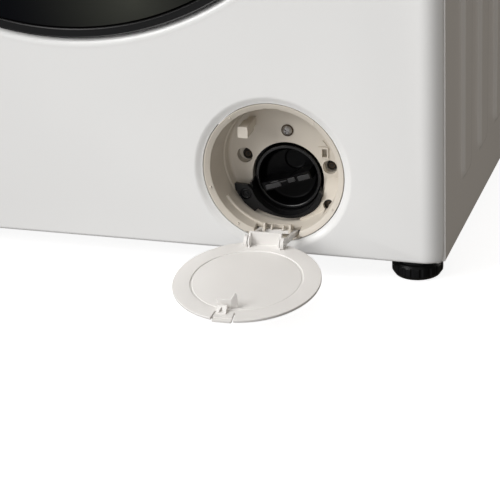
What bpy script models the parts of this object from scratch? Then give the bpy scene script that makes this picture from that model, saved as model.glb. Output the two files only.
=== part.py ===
"""Front-loading washing machine, modelled as an assembly of separate pieces.

Axes: X to the right seen from the front, -Y out of the front, +Z up.
Every length in this file is in millimetres and is turned into metres where a
mesh is made.  The working frame has y = 0 on the front panel's outer face and
z = 0 on the floor; the empty "machine" carries it to the part's own origin.
"""

import bpy
import bmesh
import math
from mathutils import Matrix, Vector

for ob in list(bpy.data.objects):
    bpy.data.objects.remove(ob, do_unlink=True)

MM = 0.001

# ---------------------------------------------------------------- dimensions
WIDTH = 595.0            # over the flat sides
HALF = WIDTH / 2
HEIGHT = 847.0           # floor to the top of the cover
DEPTH = 560.0            # front panel to the back edge of the sides
SHIFT_Y = -223.17        # working frame to the part's origin
FLOOR_GAP = 20.0         # floor to the bottom edge of the panels
SHEET = 1.2              # sheet steel
SEAM_Y = 7.4             # where the front panel meets the side
CORNER_X = 18.0          # width of the front panel's rounded edge
PANEL_TOP = 725.0        # top edge of the front panel
TOP_Z = 829.3            # underside of the top cover

RIB_FIRST, RIB_PITCH, RIB_WIDTH, RIB_OUT, RIB_SLOPE = 60.0, 67.5, 25.0, 2.5, 5.0
RIB_COUNT = 7

DOOR_Z = 427.0           # height of the door, the drum and the tub
RING_R = 247.6           # raised ring round the door
DISH_R = 242.6           # recess that the door lies in
DISH_Y = 15.0
APERTURE_R = 187.0
BEZEL_R = 241.8
GLASS_R = 233.6
HINGE_X, HINGE_Y = -235.0, -3.0

REC_X, REC_Z = 165.2, 84.8   # centre of the drain filter recess
HOLE_R = 57.0
FLANGE_R = 56.2
RIM_R = 51.3
RECESS_BACK = 38.0
PUMP_X, PUMP_Z = REC_X + 1.5, REC_Z - 16.0
CAP_R = 26.3

FLAP_R = 55.8
FLAP_T = 2.4
FLAP_OPEN = math.radians(97.6)
PIN_A, PIN_B = 50.0, 4.6     # flap centre to the pin: along the flap, above it
PIN_CLOSED = (FLAP_T / 2 + PIN_B, REC_Z - PIN_A)
FLAP_REST = (-76.2, 28.8)

TUB_R, TUB_WALL = 262.0, 4.0
DRUM_R = 245.0
PULLEY_R, MOTOR_PULLEY_R = 150.0, 12.0
MOTOR_X, MOTOR_Z = -60.0, 102.0
DAMPER_X, DAMPER_Y = 234.0, 260.0
SPRING_X, SPRING_Y = 180.0, 330.0

FEET = {
    "levelling_foot_front_left": (-271.0, 30.0),
    "levelling_foot_front_right": (271.0, 30.0),
    "levelling_foot_rear_left": (-271.0, 530.0),
    "levelling_foot_rear_right": (271.0, 530.0),
}

# ------------------------------------------------------------- collections
PARTS = bpy.data.collections.new("washing_machine")
CUTTERS = bpy.data.collections.new("cutters")
bpy.context.scene.collection.children.link(PARTS)
bpy.context.scene.collection.children.link(CUTTERS)


MACHINE = bpy.data.objects.new("machine", None)
MACHINE.empty_display_size = 0.05
MACHINE.location = (0, SHIFT_Y * MM, 0)
PARTS.objects.link(MACHINE)
AXES = {"machine": (MACHINE, Vector((0, 0, 0)))}


def axis(name, x, y, z):
    """An empty on a joint's axis, in the working frame."""
    e = bpy.data.objects.new("axis_" + name, None)
    e.empty_display_size = 0.03
    PARTS.objects.link(e)
    e.parent = MACHINE
    e.location = Vector((x, y, z)) * MM
    AXES[name] = (e, Vector((x, y, z)) * MM)


# ---------------------------------------------------------------- materials
def material(name, colour, roughness, metallic=0.0, alpha=1.0):
    m = bpy.data.materials.new(name)
    m.use_nodes = True
    p = m.node_tree.nodes["Principled BSDF"]
    p.inputs["Base Color"].default_value = (*colour, 1.0)
    p.inputs["Roughness"].default_value = roughness
    p.inputs["Metallic"].default_value = metallic
    p.inputs["Alpha"].default_value = alpha
    return m


WHITE_STEEL = material("white_enamel", (0.72, 0.72, 0.70), 0.35)
WHITE_PLASTIC = material("white_plastic", (0.70, 0.69, 0.68), 0.45)
BEIGE = material("beige_plastic", (0.52, 0.45, 0.36), 0.5)
BLACK = material("black_plastic", (0.01, 0.01, 0.011), 0.3)
DARK_GLASS = material("dark_glass", (0.02, 0.022, 0.024), 0.05)
GLASS = material("clear_glass", (0.6, 0.65, 0.66), 0.05)
GREY_RUBBER = material("grey_rubber", (0.20, 0.20, 0.21), 0.8)
BLACK_RUBBER = material("black_rubber", (0.02, 0.02, 0.02), 0.8)
STAINLESS = material("stainless_steel", (0.6, 0.6, 0.6), 0.28, 1.0)
ZINC = material("zinc_steel", (0.48, 0.49, 0.5), 0.4, 1.0)
ALLOY = material("cast_aluminium", (0.55, 0.55, 0.56), 0.5, 1.0)
GREY_PLASTIC = material("grey_plastic", (0.30, 0.30, 0.31), 0.5)
CONCRETE = material("concrete", (0.25, 0.24, 0.23), 0.9)
BOARD_GREEN = material("board_green", (0.02, 0.14, 0.06), 0.5)
COPPER = material("motor_steel", (0.25, 0.25, 0.26), 0.45, 1.0)


# ------------------------------------------------------------------- shapes
def _object(name, mesh):
    ob = bpy.data.objects.new(name, mesh)
    CUTTERS.objects.link(ob)
    return ob


def box(x0, x1, y0, y1, z0, z1, name="box"):
    bm = bmesh.new()
    bmesh.ops.create_cube(bm, size=1.0)
    bmesh.ops.scale(bm, vec=((x1 - x0) * MM, (y1 - y0) * MM, (z1 - z0) * MM), verts=bm.verts)
    bmesh.ops.translate(bm, vec=((x0 + x1) * MM / 2, (y0 + y1) * MM / 2, (z0 + z1) * MM / 2), verts=bm.verts)
    mesh = bpy.data.meshes.new(name)
    bm.to_mesh(mesh)
    bm.free()
    return _object(name, mesh)


def rod(p0, p1, r, seg=20, r2=None, name="rod"):
    """A cylinder or cone between two points."""
    a, b = Vector(p0) * MM, Vector(p1) * MM
    bm = bmesh.new()
    bmesh.ops.create_cone(
        bm, cap_ends=True, segments=seg, radius1=r * MM,
        radius2=(r if r2 is None else r2) * MM, depth=(b - a).length,
    )
    mesh = bpy.data.meshes.new(name)
    bm.to_mesh(mesh)
    bm.free()
    ob = _object(name, mesh)
    turn_to = (b - a).to_track_quat("Z", "Y").to_matrix().to_4x4()
    ob.matrix_basis = Matrix.Translation((a + b) / 2) @ turn_to
    return ob


def turned(profile, seg, x=0.0, z=0.0, y=None, name="turned"):
    """A turned solid. profile is (radius, place along the axis).

    The axis runs along +Y through (x, z), or with y given along +Z through
    (x, y).  The loop is put in the order that faces outwards.
    """
    pts = list(profile)
    area = 0.0
    for (r0, h0), (r1, h1) in zip(pts, pts[1:] + pts[:1]):
        area += r0 * h1 - r1 * h0
    if area > 0:
        pts.reverse()
    open_loop = any(r == 0 for r, _ in pts)
    if open_loop:
        # start and end on the axis
        n = len(pts)
        for i in range(n):
            if pts[i][0] == 0 and pts[i - 1][0] == 0:
                pts = pts[i:] + pts[:i]
                break
    mesh = bpy.data.meshes.new(name)
    verts = [(r * MM, 0.0, h * MM) for r, h in pts]
    edges = [(i, i + 1) for i in range(len(pts) - 1)]
    if not open_loop:
        edges.append((len(pts) - 1, 0))
    mesh.from_pydata(verts, edges, [])
    ob = _object(name, mesh)
    s = ob.modifiers.new("turn", "SCREW")
    s.axis = "Z"
    s.angle = 2 * math.pi
    s.steps = seg
    s.render_steps = seg
    s.screw_offset = 0
    s.use_merge_vertices = True
    s.merge_threshold = 0.00001
    s.use_smooth_shade = True
    if y is None:
        ob.matrix_basis = Matrix.Translation((x * MM, 0, z * MM)) @ Matrix.Rotation(-math.pi / 2, 4, "X")
    else:
        ob.matrix_basis = Matrix.Translation((x * MM, y * MM, 0))
    return ob


def from_curve(curve, name):
    """The closed mesh of a curve object, its caps welded."""
    ob = bpy.data.objects.new(name + "_curve", curve)
    CUTTERS.objects.link(ob)
    graph = bpy.context.evaluated_depsgraph_get()
    mesh = bpy.data.meshes.new_from_object(ob.evaluated_get(graph))
    bm = bmesh.new()
    bm.from_mesh(mesh)
    bmesh.ops.remove_doubles(bm, verts=bm.verts, dist=0.000002)
    bm.to_mesh(mesh)
    bm.free()
    new = _object(name, mesh)
    new.matrix_basis = ob.matrix_basis
    bpy.data.objects.remove(ob, do_unlink=True)
    return new


def plate(points, lo, hi, plane="XZ", name="plate"):
    """A flat outline given thickness between lo and hi."""
    curve = bpy.data.curves.new(name, "CURVE")
    curve.dimensions = "2D"
    curve.fill_mode = "BOTH"
    curve.extrude = (hi - lo) / 2 * MM
    sp = curve.splines.new("POLY")
    sp.points.add(len(points) - 1)
    for p, (u, v) in zip(sp.points, points):
        p.co = (u * MM, v * MM, 0, 1)
    sp.use_cyclic_u = True
    ob = from_curve(curve, name)
    mid = (lo + hi) / 2 * MM
    if plane == "XY":
        m = Matrix.Translation((0, 0, mid))
    elif plane == "XZ":
        m = Matrix(((1, 0, 0, 0), (0, 0, -1, mid), (0, 1, 0, 0), (0, 0, 0, 1)))
    else:
        m = Matrix(((0, 0, 1, mid), (1, 0, 0, 0), (0, 1, 0, 0), (0, 0, 0, 1)))
    ob.matrix_basis = m
    return ob


def tube(points, r, resolution=2, name="tube"):
    curve = bpy.data.curves.new(name, "CURVE")
    curve.dimensions = "3D"
    curve.bevel_depth = r * MM
    curve.bevel_resolution = resolution
    curve.use_fill_caps = True
    sp = curve.splines.new("POLY")
    sp.points.add(len(points) - 1)
    for p, q in zip(sp.points, points):
        p.co = (q[0] * MM, q[1] * MM, q[2] * MM, 1)
    return from_curve(curve, name)


def smooth_path(points, count):
    """Points evenly read from a smooth curve through the given ones."""
    pts = [Vector(p) for p in points]
    pts = [pts[0] * 2 - pts[1]] + pts + [pts[-1] * 2 - pts[-2]]
    spans = len(pts) - 3
    out = []
    for i in range(count + 1):
        t = i / count * spans
        k = min(int(t), spans - 1)
        t -= k
        a, b, c, d = pts[k:k + 4]
        out.append(0.5 * ((2 * b) + (c - a) * t + (2 * a - 5 * b + 4 * c - d) * t * t
                          + (3 * b - a - 3 * c + d) * t ** 3))
    return out


def arc(cx, cz, r, a0, a1, n):
    return [(cx + r * math.cos(math.radians(a0 + (a1 - a0) * i / n)),
             cz + r * math.sin(math.radians(a0 + (a1 - a0) * i / n))) for i in range(n + 1)]


def _boolean(target, tool, operation, solver="EXACT"):
    m = target.modifiers.new(operation.lower(), "BOOLEAN")
    m.operation = operation
    m.solver = solver
    m.object = tool


def join(target, *tools, solver="EXACT"):
    for t in tools:
        _boolean(target, t, "UNION", solver)
    return target


def cut(target, *tools, solver="EXACT"):
    for t in tools:
        _boolean(target, t, "DIFFERENCE", solver)
    return target


def bevel(ob, width, segments=1, angle=40):
    m = ob.modifiers.new("edges", "BEVEL")
    m.width = width * MM
    m.segments = segments
    m.limit_method = "ANGLE"
    m.angle_limit = math.radians(angle)
    return ob


MADE = {}


def part(name, ob, mat, body="machine"):
    """Name a finished piece, give it its material and its axis."""
    ob.name = name
    ob.data.name = name
    CUTTERS.objects.unlink(ob)
    PARTS.objects.link(ob)
    ob.data.materials.clear()
    ob.data.materials.append(mat)
    parent, at = AXES[body]
    ob.matrix_basis = Matrix.Translation(-at) @ ob.matrix_basis
    ob.parent = parent
    MADE[name] = ob
    return ob


def move(obs, matrix):
    for o in obs:
        o.matrix_basis = matrix @ o.matrix_basis


# ---------------------------------------------------------------- the axes
axis("door", HINGE_X, HINGE_Y, DOOR_Z)
axis("handle", 230, -7, DOOR_Z)
axis("hook", 224, 9, DOOR_Z)
axis("drum", 0, 430, DOOR_Z)
axis("motor", MOTOR_X, 530, MOTOR_Z)
axis("tub", 0, 260, DOOR_Z)
axis("knob", 0, -3, 777)
axis("start", 212, -3, 777)
axis("power", 256, -3, 777)
axis("drawer", -205, 0, 777)
axis("pump", PUMP_X, 30, PUMP_Z)
axis("cap", PUMP_X, 20, PUMP_Z)
axis("impeller", PUMP_X, 118, PUMP_Z)
SIN, COS = math.sin(FLAP_OPEN), math.cos(FLAP_OPEN)
PIN_REST = (FLAP_REST[0] + PIN_A * SIN + PIN_B * COS, FLAP_REST[1] - PIN_A * COS + PIN_B * SIN)
axis("flap", REC_X, PIN_REST[0], PIN_REST[1])
axis("carriage", REC_X, PIN_REST[0], PIN_REST[1])
for n, (fx, fy) in FEET.items():
    axis(n, fx, fy, FLOOR_GAP)

# ============================================================ the cabinet
base = box(-291.5, 291.5, 6, 552, 20.5, 24.5)
cut(base, box(-200, 200, 215, 470, 10, 40))
join(base,
     box(-291.5, -236, 6, 552, 23.5, 56),
     box(236, 291.5, 6, 552, 23.5, 55.8),
     box(-240, 240, 510, 552, 23.7, 52),
     box(-252, -216, 246, 274, 23.4, 61),
     box(216, 252, 246, 274, 23.4, 60.9))
for fx, fy in FEET.values():
    cut(base, rod((fx, fy, 10), (fx, fy, 54), 5.7, 12))
part("base_frame", base, GREY_PLASTIC)

for n, (fx, fy) in FEET.items():
    foot = turned([(0, 0), (17.5, 0), (20, 3), (20, 10.5), (18, 13), (17, 19.9),
                   (5, 19.9), (5, 52), (0, 52)], 20, fx, 0, fy)
    part(n, foot, BLACK_RUBBER, n)


def side(sign, name):
    """A side sheet with its row of pressed upright ribs."""
    ys = [8.0]
    for i in range(RIB_COUNT):
        a = RIB_FIRST + i * RIB_PITCH
        ys += [a - RIB_SLOPE, a, a + RIB_WIDTH, a + RIB_WIDTH + RIB_SLOPE]
    ys.append(DEPTH)
    zs = [FLOOR_GAP, FLOOR_GAP + 39, FLOOR_GAP + 45, 776, 782, TOP_Z - 0.4]
    bm = bmesh.new()
    bmesh.ops.create_grid(bm, x_segments=len(ys) - 1, y_segments=len(zs) - 1, size=1.0)
    grid = sorted(bm.verts, key=lambda v: (round(v.co.y, 4), round(v.co.x, 4)))
    for k, v in enumerate(grid):
        i, j = k % len(ys), k // len(ys)
        out = RIB_OUT if (2 <= j <= 3 and (i - 1) % 4 in (1, 2) and 0 < i < len(ys) - 1) else 0.0
        v.co = (sign * (HALF + out) * MM, ys[i] * MM, zs[j] * MM)
    bmesh.ops.recalc_face_normals(bm, faces=bm.faces)
    face = next(iter(bm.faces))
    if face.normal.x * sign < 0:
        bmesh.ops.reverse_faces(bm, faces=bm.faces)
    mesh = bpy.data.meshes.new(name)
    bm.to_mesh(mesh)
    bm.free()
    ob = _object(name, mesh)
    s = ob.modifiers.new("sheet", "SOLIDIFY")
    s.thickness = SHEET * MM
    s.offset = -1
    part(name, ob, WHITE_STEEL)


side(-1, "side_panel_left")
side(1, "side_panel_right")

# front panel: a sheet whose upright edges roll back to the seams
edge_out = [(HALF, SEAM_Y), (HALF - 0.4, 5.2), (HALF - 2.2, 3.1), (HALF - 6.0, 1.3), (HALF - 11.5, 0.3), (HALF - CORNER_X, 0)]
edge_in = [(HALF - CORNER_X, SHEET), (HALF - 11.0, SHEET + 0.3), (HALF - 5.2, 2.6), (HALF - 2.6, 4.4), (HALF - 1.5, SEAM_Y)]
section = edge_out + [(-x, y) for x, y in reversed(edge_out)] + [(-x, y) for x, y in reversed(edge_in)] + edge_in
panel = plate(section, FLOOR_GAP, PANEL_TOP, "XY")
cut(panel,
    rod((0, -20, DOOR_Z), (0, 20, DOOR_Z), 246.0, 40),
    rod((REC_X, -20, REC_Z), (REC_X, 20, REC_Z), HOLE_R, 32))
dish = turned([(APERTURE_R, DISH_Y), (DISH_R, DISH_Y), (DISH_R, 0), (243.4, -2.2), (245.2, -3),
               (247.2, -1.4), (RING_R, 0.6), (RING_R, 0.9), (243.8, 0.9), (243.8, DISH_Y + SHEET),
               (APERTURE_R, DISH_Y + SHEET)], 40, 0, DOOR_Z)
join(panel, dish)
cut(panel, box(203, 233, 10, 20, 410, 444))
part("front_panel", panel, WHITE_STEEL)

fascia = box(-HALF, HALF, -3, 7.6, PANEL_TOP + 0.5, TOP_Z - 0.4)
cut(fascia,
    box(-295.3, 295.3, -0.4, 12, PANEL_TOP + 3, TOP_Z - 3),
    box(-288, -122, -10, 5, 738, 818),
    rod((0, -10, 777), (0, 5, 777), 4.6, 16),
    box(60, 170, -10, 5, 757, 797),
    rod((212, -10, 777), (212, 5, 777), 11.6, 20),
    rod((256, -10, 777), (256, 5, 777), 11.6, 20))
part("control_panel", fascia, WHITE_PLASTIC)

top = box(-HALF, HALF, -3, 563, TOP_Z, HEIGHT)
bevel(top, 3, 2)
part("top_cover", top, WHITE_PLASTIC)

back = box(-297.2, 297.2, 560.4, 561.6, 20.5, TOP_Z - 0.4)
cut(back,
    rod((0, 550, DOOR_Z), (0, 570, DOOR_Z), 176, 32),
    rod((-240, 550, 775), (-240, 570, 775), 9.6, 16))
part("rear_panel", back, WHITE_STEEL)

cover = turned([(0, 573.2), (158, 573.2), (174, 563.3), (192, 563.3), (192, 562.1), (173, 562.1),
                (157, 572), (0, 572)], 32, 0, DOOR_Z)
part("rear_access_cover", cover, GREY_PLASTIC)

beam = box(-295.9, 295.9, 318, 342, 795, 826)
cut(beam, box(-300, 300, 320, 340, 797, 830))
part("suspension_beam", beam, ZINC)

# ================================================== the drain filter recess
recess = turned([(FLANGE_R, 2.9), (FLANGE_R, 5.4), (52.8, 5.4), (48.5, RECESS_BACK + 1.5), (0, RECESS_BACK + 1.5),
                 (0, RECESS_BACK), (47.0, RECESS_BACK), (RIM_R, 2.9)], 32, REC_X, REC_Z)
cut(recess,
    rod((PUMP_X, 30, PUMP_Z), (PUMP_X, 50, PUMP_Z), 29.4, 28),
    box(REC_X - 19, REC_X + 19, 0, 22, 24, 38.6))
join(recess, box(REC_X - 31, REC_X - 23, 12, 38.6, REC_Z + 21, REC_Z + 30))
part("filter_recess_housing", recess, BEIGE)

# flap, drawn closed and then swung open
flap_obs = []
flap = turned([(0, 0), (FLAP_R - 0.8, 0), (FLAP_R, 0.8), (FLAP_R, FLAP_T), (0, FLAP_T)], 32, REC_X, REC_Z)
pz, py = PIN_CLOSED[1], PIN_CLOSED[0]
for o in (box(REC_X - 12.5, REC_X + 12.5, 1.8, 11.9, REC_Z - 54.2, REC_Z - 52.4),
          box(REC_X - 12.5, REC_X - 10.7, 1.6, 8.2, REC_Z - 53, REC_Z - 45),
          box(REC_X + 10.7, REC_X + 12.5, 1.6, 8.2, REC_Z - 53, REC_Z - 45),
          rod((REC_X - 17.2, py, pz), (REC_X - 11.5, py, pz), 1.3, 10),
          rod((REC_X + 11.5, py, pz), (REC_X + 17.2, py, pz), 1.3, 10),
          box(REC_X - 5, REC_X + 5, 1.7, 9.5, REC_Z + 46.5, REC_Z + 50)):
    join(flap, o)
    flap_obs.append(o)
flap_obs.append(flap)
swing = (Matrix.Translation((0, PIN_REST[0] * MM, PIN_REST[1] * MM)) @ Matrix.Rotation(FLAP_OPEN, 4, "X")
         @ Matrix.Translation((0, -PIN_CLOSED[0] * MM, -PIN_CLOSED[1] * MM)))
move(flap_obs, swing)
part("filter_flap", flap, WHITE_PLASTIC, "flap")

# carriage: two prongs that slide in under the recess while the flap closes
ry, rz = PIN_REST
slide = Vector((PIN_CLOSED[0] - ry, PIN_CLOSED[1] - rz)).normalized()
ARM = 39.0


def along(t, off=0.0):
    return (ry + slide.x * t - slide.y * off, rz + slide.y * t + slide.x * off)


def prong(x0, x1):
    return plate([along(0, 1.4), along(0, -1.4), along(ARM, -1.4), along(ARM, 1.4)], x0, x1, "YZ")


carriage = prong(REC_X - 17.6, REC_X - 13.0)
join(carriage,
     plate([along(ARM - 5, 1.3), along(ARM - 5, -1.3), along(ARM - 0.4, -1.3), along(ARM - 0.4, 1.3)],
           REC_X - 14, REC_X + 14, "YZ"),
     prong(REC_X + 13.0, REC_X + 17.6),
     rod((REC_X - 17.5, ry, rz), (REC_X - 13.1, ry, rz), 3.0, 14),
     rod((REC_X + 13.1, ry, rz), (REC_X + 17.5, ry, rz), 3.0, 14))
cut(carriage, rod((REC_X - 20, ry, rz), (REC_X + 20, ry, rz), 1.75, 12))
part("flap_hinge_carriage", carriage, WHITE_PLASTIC, "carriage")

# ============================================================ drain pump
housing = turned([(0, 36.2), (28.6, 36.2), (28.6, 40.2), (33, 40.2), (33, 43), (28.5, 43), (28.5, 131.2), (0, 131.2)],
                 24, PUMP_X, PUMP_Z)
# drip lip under the cap, and the ear that the pump is screwed on by
lip = [(REC_X + 1.0 + 34.6 * math.cos(math.radians(a)), REC_Z - 10.7 + 34.6 * math.sin(math.radians(a))) for a in range(-150, -24, 12)]
join(housing,
     plate(lip + [(PUMP_X + 22, PUMP_Z - 8), (PUMP_X, PUMP_Z - 20), (PUMP_X - 22, PUMP_Z - 8)], 24.5, 37.4),
     plate([(REC_X - 39.0, REC_Z - 19.6), (REC_X - 24, REC_Z - 19.8), (REC_X - 10, REC_Z - 22), (REC_X - 10, REC_Z - 34),
            (REC_X - 19, REC_Z - 39), (REC_X - 22.3, REC_Z - 41), (REC_X - 30, REC_Z - 35.5), (REC_X - 38.6, REC_Z - 25.8)], 24.7, 37.2),
     rod((PUMP_X - 20, 90, PUMP_Z), (118, 90, PUMP_Z), 12, 12),
     rod((PUMP_X, 120, PUMP_Z + 20), (PUMP_X, 120, 128), 9, 12), solver="MANIFOLD")
cut(housing,
    turned([(0, 10), (27.4, 10), (27.4, 36.4), (27.0, 36.6), (27.0, 52), (24, 52.2), (24, 104), (17, 104), (17, 110), (22, 110), (22, 128),
            (3, 128), (3, 140), (0, 140)], 24, PUMP_X, PUMP_Z),
    rod((PUMP_X - 18, 90, PUMP_Z), (110, 90, PUMP_Z), 9, 12),
    rod((PUMP_X, 120, PUMP_Z + 15), (PUMP_X, 120, 135), 6.5, 12), solver="MANIFOLD")
part("drain_pump_housing", housing, BLACK)

basket = turned([(0, 51.3), (23.4, 51.3), (23.4, 55.5), (16, 55.5), (16, 99), (0, 99)], 20, PUMP_X, PUMP_Z)
cut(basket, box(PUMP_X - 20, PUMP_X + 20, 60, 94, PUMP_Z - 9, PUMP_Z + 9))
part("filter_basket", basket, BLACK, "pump")

cap = turned([(0, 45), (23.4, 45), (24.2, 36), (CAP_R, 36), (CAP_R, 50.9), (0, 50.9)], 28, PUMP_X, PUMP_Z)
bar = box(PUMP_X - 19.8, PUMP_X + 19.8, 33.5, 46, PUMP_Z - 3.6, PUMP_Z + 3.6)
bar.matrix_basis = (Matrix.Translation((PUMP_X * MM, 0, PUMP_Z * MM)) @ Matrix.Rotation(math.radians(-19), 4, "Y")
                    @ Matrix.Translation((-PUMP_X * MM, 0, -PUMP_Z * MM)))
join(cap, bar)
part("filter_cap", cap, BLACK, "cap")

wheel = turned([(0, 113), (6, 113), (6, 126.2), (1.9, 126.2), (1.9, 150), (0, 150)], 12, PUMP_X, PUMP_Z)
join(wheel,
     box(PUMP_X - 15, PUMP_X + 15, 114, 125.5, PUMP_Z - 1, PUMP_Z + 1),
     box(PUMP_X - 1, PUMP_X + 1, 114.2, 125.2, PUMP_Z - 15, PUMP_Z + 15))
part("pump_impeller", wheel, BLACK, "impeller")

pm = turned([(2.8, 131.8), (25, 131.8), (25, 184), (0, 184), (0, 156), (2.8, 156)], 20, PUMP_X, PUMP_Z)
part("pump_motor", pm, COPPER)

hose = tube(smooth_path([(117.2, 90, PUMP_Z), (110, 90, PUMP_Z), (98, 90.5, PUMP_Z + 0.5), (62, 114, 79), (36, 160, 100), (30, 180, 120), (30, 180, 137.6)], 14), 13.2, 1)
part("sump_hose", hose, BLACK_RUBBER, "tub")

# ================================================= tub, drum and drive
tubf = turned([(178, 72), (188, 72), (188, 80), (TUB_R, 80), (TUB_R, 270), (TUB_R - TUB_WALL, 270),
               (TUB_R - TUB_WALL, 84), (178, 84)], 36, 0, DOOR_Z)
for s in (-1, 1):
    join(tubf, box(min(s * 214, s * 246), max(s * 214, s * 246), 250, 268.5, 284.2, 314))
join(tubf, rod((30, 180, 140), (30, 180, 168), 16, 16))
cut(tubf, rod((30, 180, 130), (30, 180, 174), 12, 16),
    rod((0, 84.5, DOOR_Z), (0, 300, DOOR_Z), TUB_R - TUB_WALL - 0.2, 36))
part("tub_front", tubf, GREY_PLASTIC, "tub")

tubr = turned([(TUB_R, 270.4), (TUB_R, 458), (44, 458), (40, 514), (26.4, 514), (26.4, 496), (20, 496), (20, 479),
               (30.4, 479), (30.4, 461), (16, 461), (16, 452), (TUB_R - TUB_WALL, 452),
               (TUB_R - TUB_WALL, 270.4)], 36, 0, DOOR_Z)
for s in (-1, 1):
    join(tubr, box(min(s * 170, s * 190), max(s * 170, s * 190), 321, 339, 612, 640))
cut(tubr, rod((0, 271, DOOR_Z), (0, 449, DOOR_Z), TUB_R - TUB_WALL - 0.2, 36),
    box(-42, 42, 449, 462, 170.6, 188))
part("tub_rear", tubr, GREY_PLASTIC, "tub")

drum = turned([(0, 428), (DRUM_R, 428), (DRUM_R, 100), (172, 100), (172, 102.5), (DRUM_R - 2, 102.5),
               (DRUM_R - 2, 426), (0, 426)], 36, 0, DOOR_Z)
for k in range(3):
    a = math.radians(90 + 120 * k)
    lifter = plate([(-24, 243.6), (24, 243.6), (9, 205), (-9, 205)], 125, 405, "XZ")
    lifter.matrix_basis = (Matrix.Translation((0, 0, DOOR_Z * MM)) @ Matrix.Rotation(a - math.pi / 2, 4, "Y")
                           @ lifter.matrix_basis)
    join(drum, lifter)
part("drum", drum, STAINLESS, "drum")

spider = rod((0, 430, DOOR_Z), (0, 449, DOOR_Z), 31, 20)
for k in range(3):
    a = math.radians(90 + 120 * k)
    arm = plate([(-16, 10), (16, 10), (9, 238), (-9, 238)], 429 + 0.2 * k, 441 + 0.2 * k, "XZ")
    arm.matrix_basis = (Matrix.Translation((0, 0, DOOR_Z * MM)) @ Matrix.Rotation(a - math.pi / 2, 4, "Y")
                        @ arm.matrix_basis)
    join(spider, arm)
cut(spider, rod((0, 420, DOOR_Z), (0, 455, DOOR_Z), 12.8, 16))
part("drum_spider", spider, ALLOY, "drum")

part("drum_shaft", rod((0, 430.4, DOOR_Z), (0, 541, DOOR_Z), 12.5, 16), STAINLESS, "drum")


def ring(r0, r1, y0, y1, seg):
    return turned([(r0, y0), (r1, y0), (r1, y1), (r0, y1)], seg, 0, DOOR_Z)


part("bearing_front", ring(13.1, 30.0, 461.5, 478.5, 16), STAINLESS, "tub")
part("bearing_rear", ring(13.1, 26.0, 496.5, 512, 16), STAINLESS, "tub")

pulley = turned([(12.8, 520), (24, 520), (24, 528), (138, 529), (138, 525), (PULLEY_R, 525), (PULLEY_R, 539.5),
                 (138, 539.5), (138, 535), (24, 536), (24, 540), (12.8, 540)], 24, 0, DOOR_Z)
for k in range(4):
    a = math.radians(45 + 90 * k)
    cut(pulley, rod((82 * math.cos(a), 515, DOOR_Z + 82 * math.sin(a)),
                    (82 * math.cos(a), 545, DOOR_Z + 82 * math.sin(a)), 34, 8))
part("drum_pulley", pulley, ALLOY, "drum")


def belt_line(extra, n=18):
    """The belt's loop round both pulleys, at a distance from them."""
    r1, r2 = PULLEY_R + extra, MOTOR_PULLEY_R + extra
    dx, dz = MOTOR_X, MOTOR_Z - DOOR_Z
    dist = math.hypot(dx, dz)
    base_a = math.degrees(math.atan2(dz, dx))
    wrap = math.degrees(math.acos((r1 - r2) / dist))
    big = arc(0, DOOR_Z, r1, base_a + wrap, base_a + 360 - wrap, n)
    small = arc(MOTOR_X, MOTOR_Z, r2, base_a - wrap, base_a + wrap, 6)
    return big + small


belt = plate(belt_line(3.6, 22), 526, 538.5)
cut(belt, plate(belt_line(1.5, 22), 520, 545))
part("drive_belt", belt, BLACK_RUBBER, "tub")

motor = turned([(6.8, 505), (30, 505), (52, 498), (52, 352), (30, 345), (0, 345), (0, 470), (6.8, 470)], 20, MOTOR_X, MOTOR_Z)
join(motor, box(MOTOR_X - 12, MOTOR_X + 12, 352, 372, MOTOR_Z + 46, 168.6),
     box(MOTOR_X - 12, MOTOR_X + 12, 425, 445, MOTOR_Z + 46, 168.6))
part("drive_motor", motor, COPPER, "tub")

mp = turned([(0, 475), (6, 475), (6, 524), (MOTOR_PULLEY_R, 524), (MOTOR_PULLEY_R, 540), (0, 540)], 16, MOTOR_X, MOTOR_Z)
part("motor_pulley", mp, ZINC, "motor")

w = arc(0, DOOR_Z, 257, -20, 200, 20) + arc(0, DOOR_Z, 197, 200, -20, 20)
part("counterweight_front", plate(w, 38, 79.4), CONCRETE, "tub")

ctop = box(-110, 110, 125, 250, 650, 720)
cut(ctop, rod((0, 100, DOOR_Z), (0, 280, DOOR_Z), TUB_R + 0.8, 36))
part("counterweight_top", ctop, CONCRETE, "tub")

r = 251.5
u = [(-26, 462)] + [(-26, y) for y in (430, 390, 350, 320)]
bend = [(-26 * math.cos(math.radians(t)), 320 - 26 * math.sin(math.radians(t))) for t in (30, 60, 90, 120, 150)]
u = u + bend + [(26, y) for y in (320, 350, 390, 430, 462)]
path = [(x, y, DOOR_Z - math.sqrt(r * r - x * x) + 2.4) for x, y in u]
heater = tube(path, 3.2, 1)
join(heater, box(-41.5, 41.5, 453, 464.5, 171.0, 187.6))
part("heater", heater, ZINC, "tub")

for s, n in ((-1, "left"), (1, "right")):
    turns, per = 6, 8
    helix = []
    for i in range(turns * per + 1):
        a = 2 * math.pi * i / per
        helix.append((s * SPRING_X + 13 * math.cos(a), SPRING_Y + 13 * math.sin(a), 643.2 + (791.8 - 643.2) * i / (turns * per)))
    part("suspension_spring_" + n, tube(helix, 2.2, 0), ZINC, "tub")
    cyl = turned([(0, 61.6), (14, 61.6), (14, 190), (6.2, 190), (6.2, 74), (0, 74)], 16, s * DAMPER_X, 0, DAMPER_Y)
    part("damper_cylinder_" + n, cyl, GREY_PLASTIC)
    drod = rod((s * DAMPER_X, DAMPER_Y, 92), (s * DAMPER_X, DAMPER_Y, 270), 5, 12)
    join(drod, rod((s * DAMPER_X, DAMPER_Y, 268), (s * DAMPER_X, DAMPER_Y, 283.6), 9, 12))
    part("damper_rod_" + n, drod, ZINC, "tub")

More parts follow.
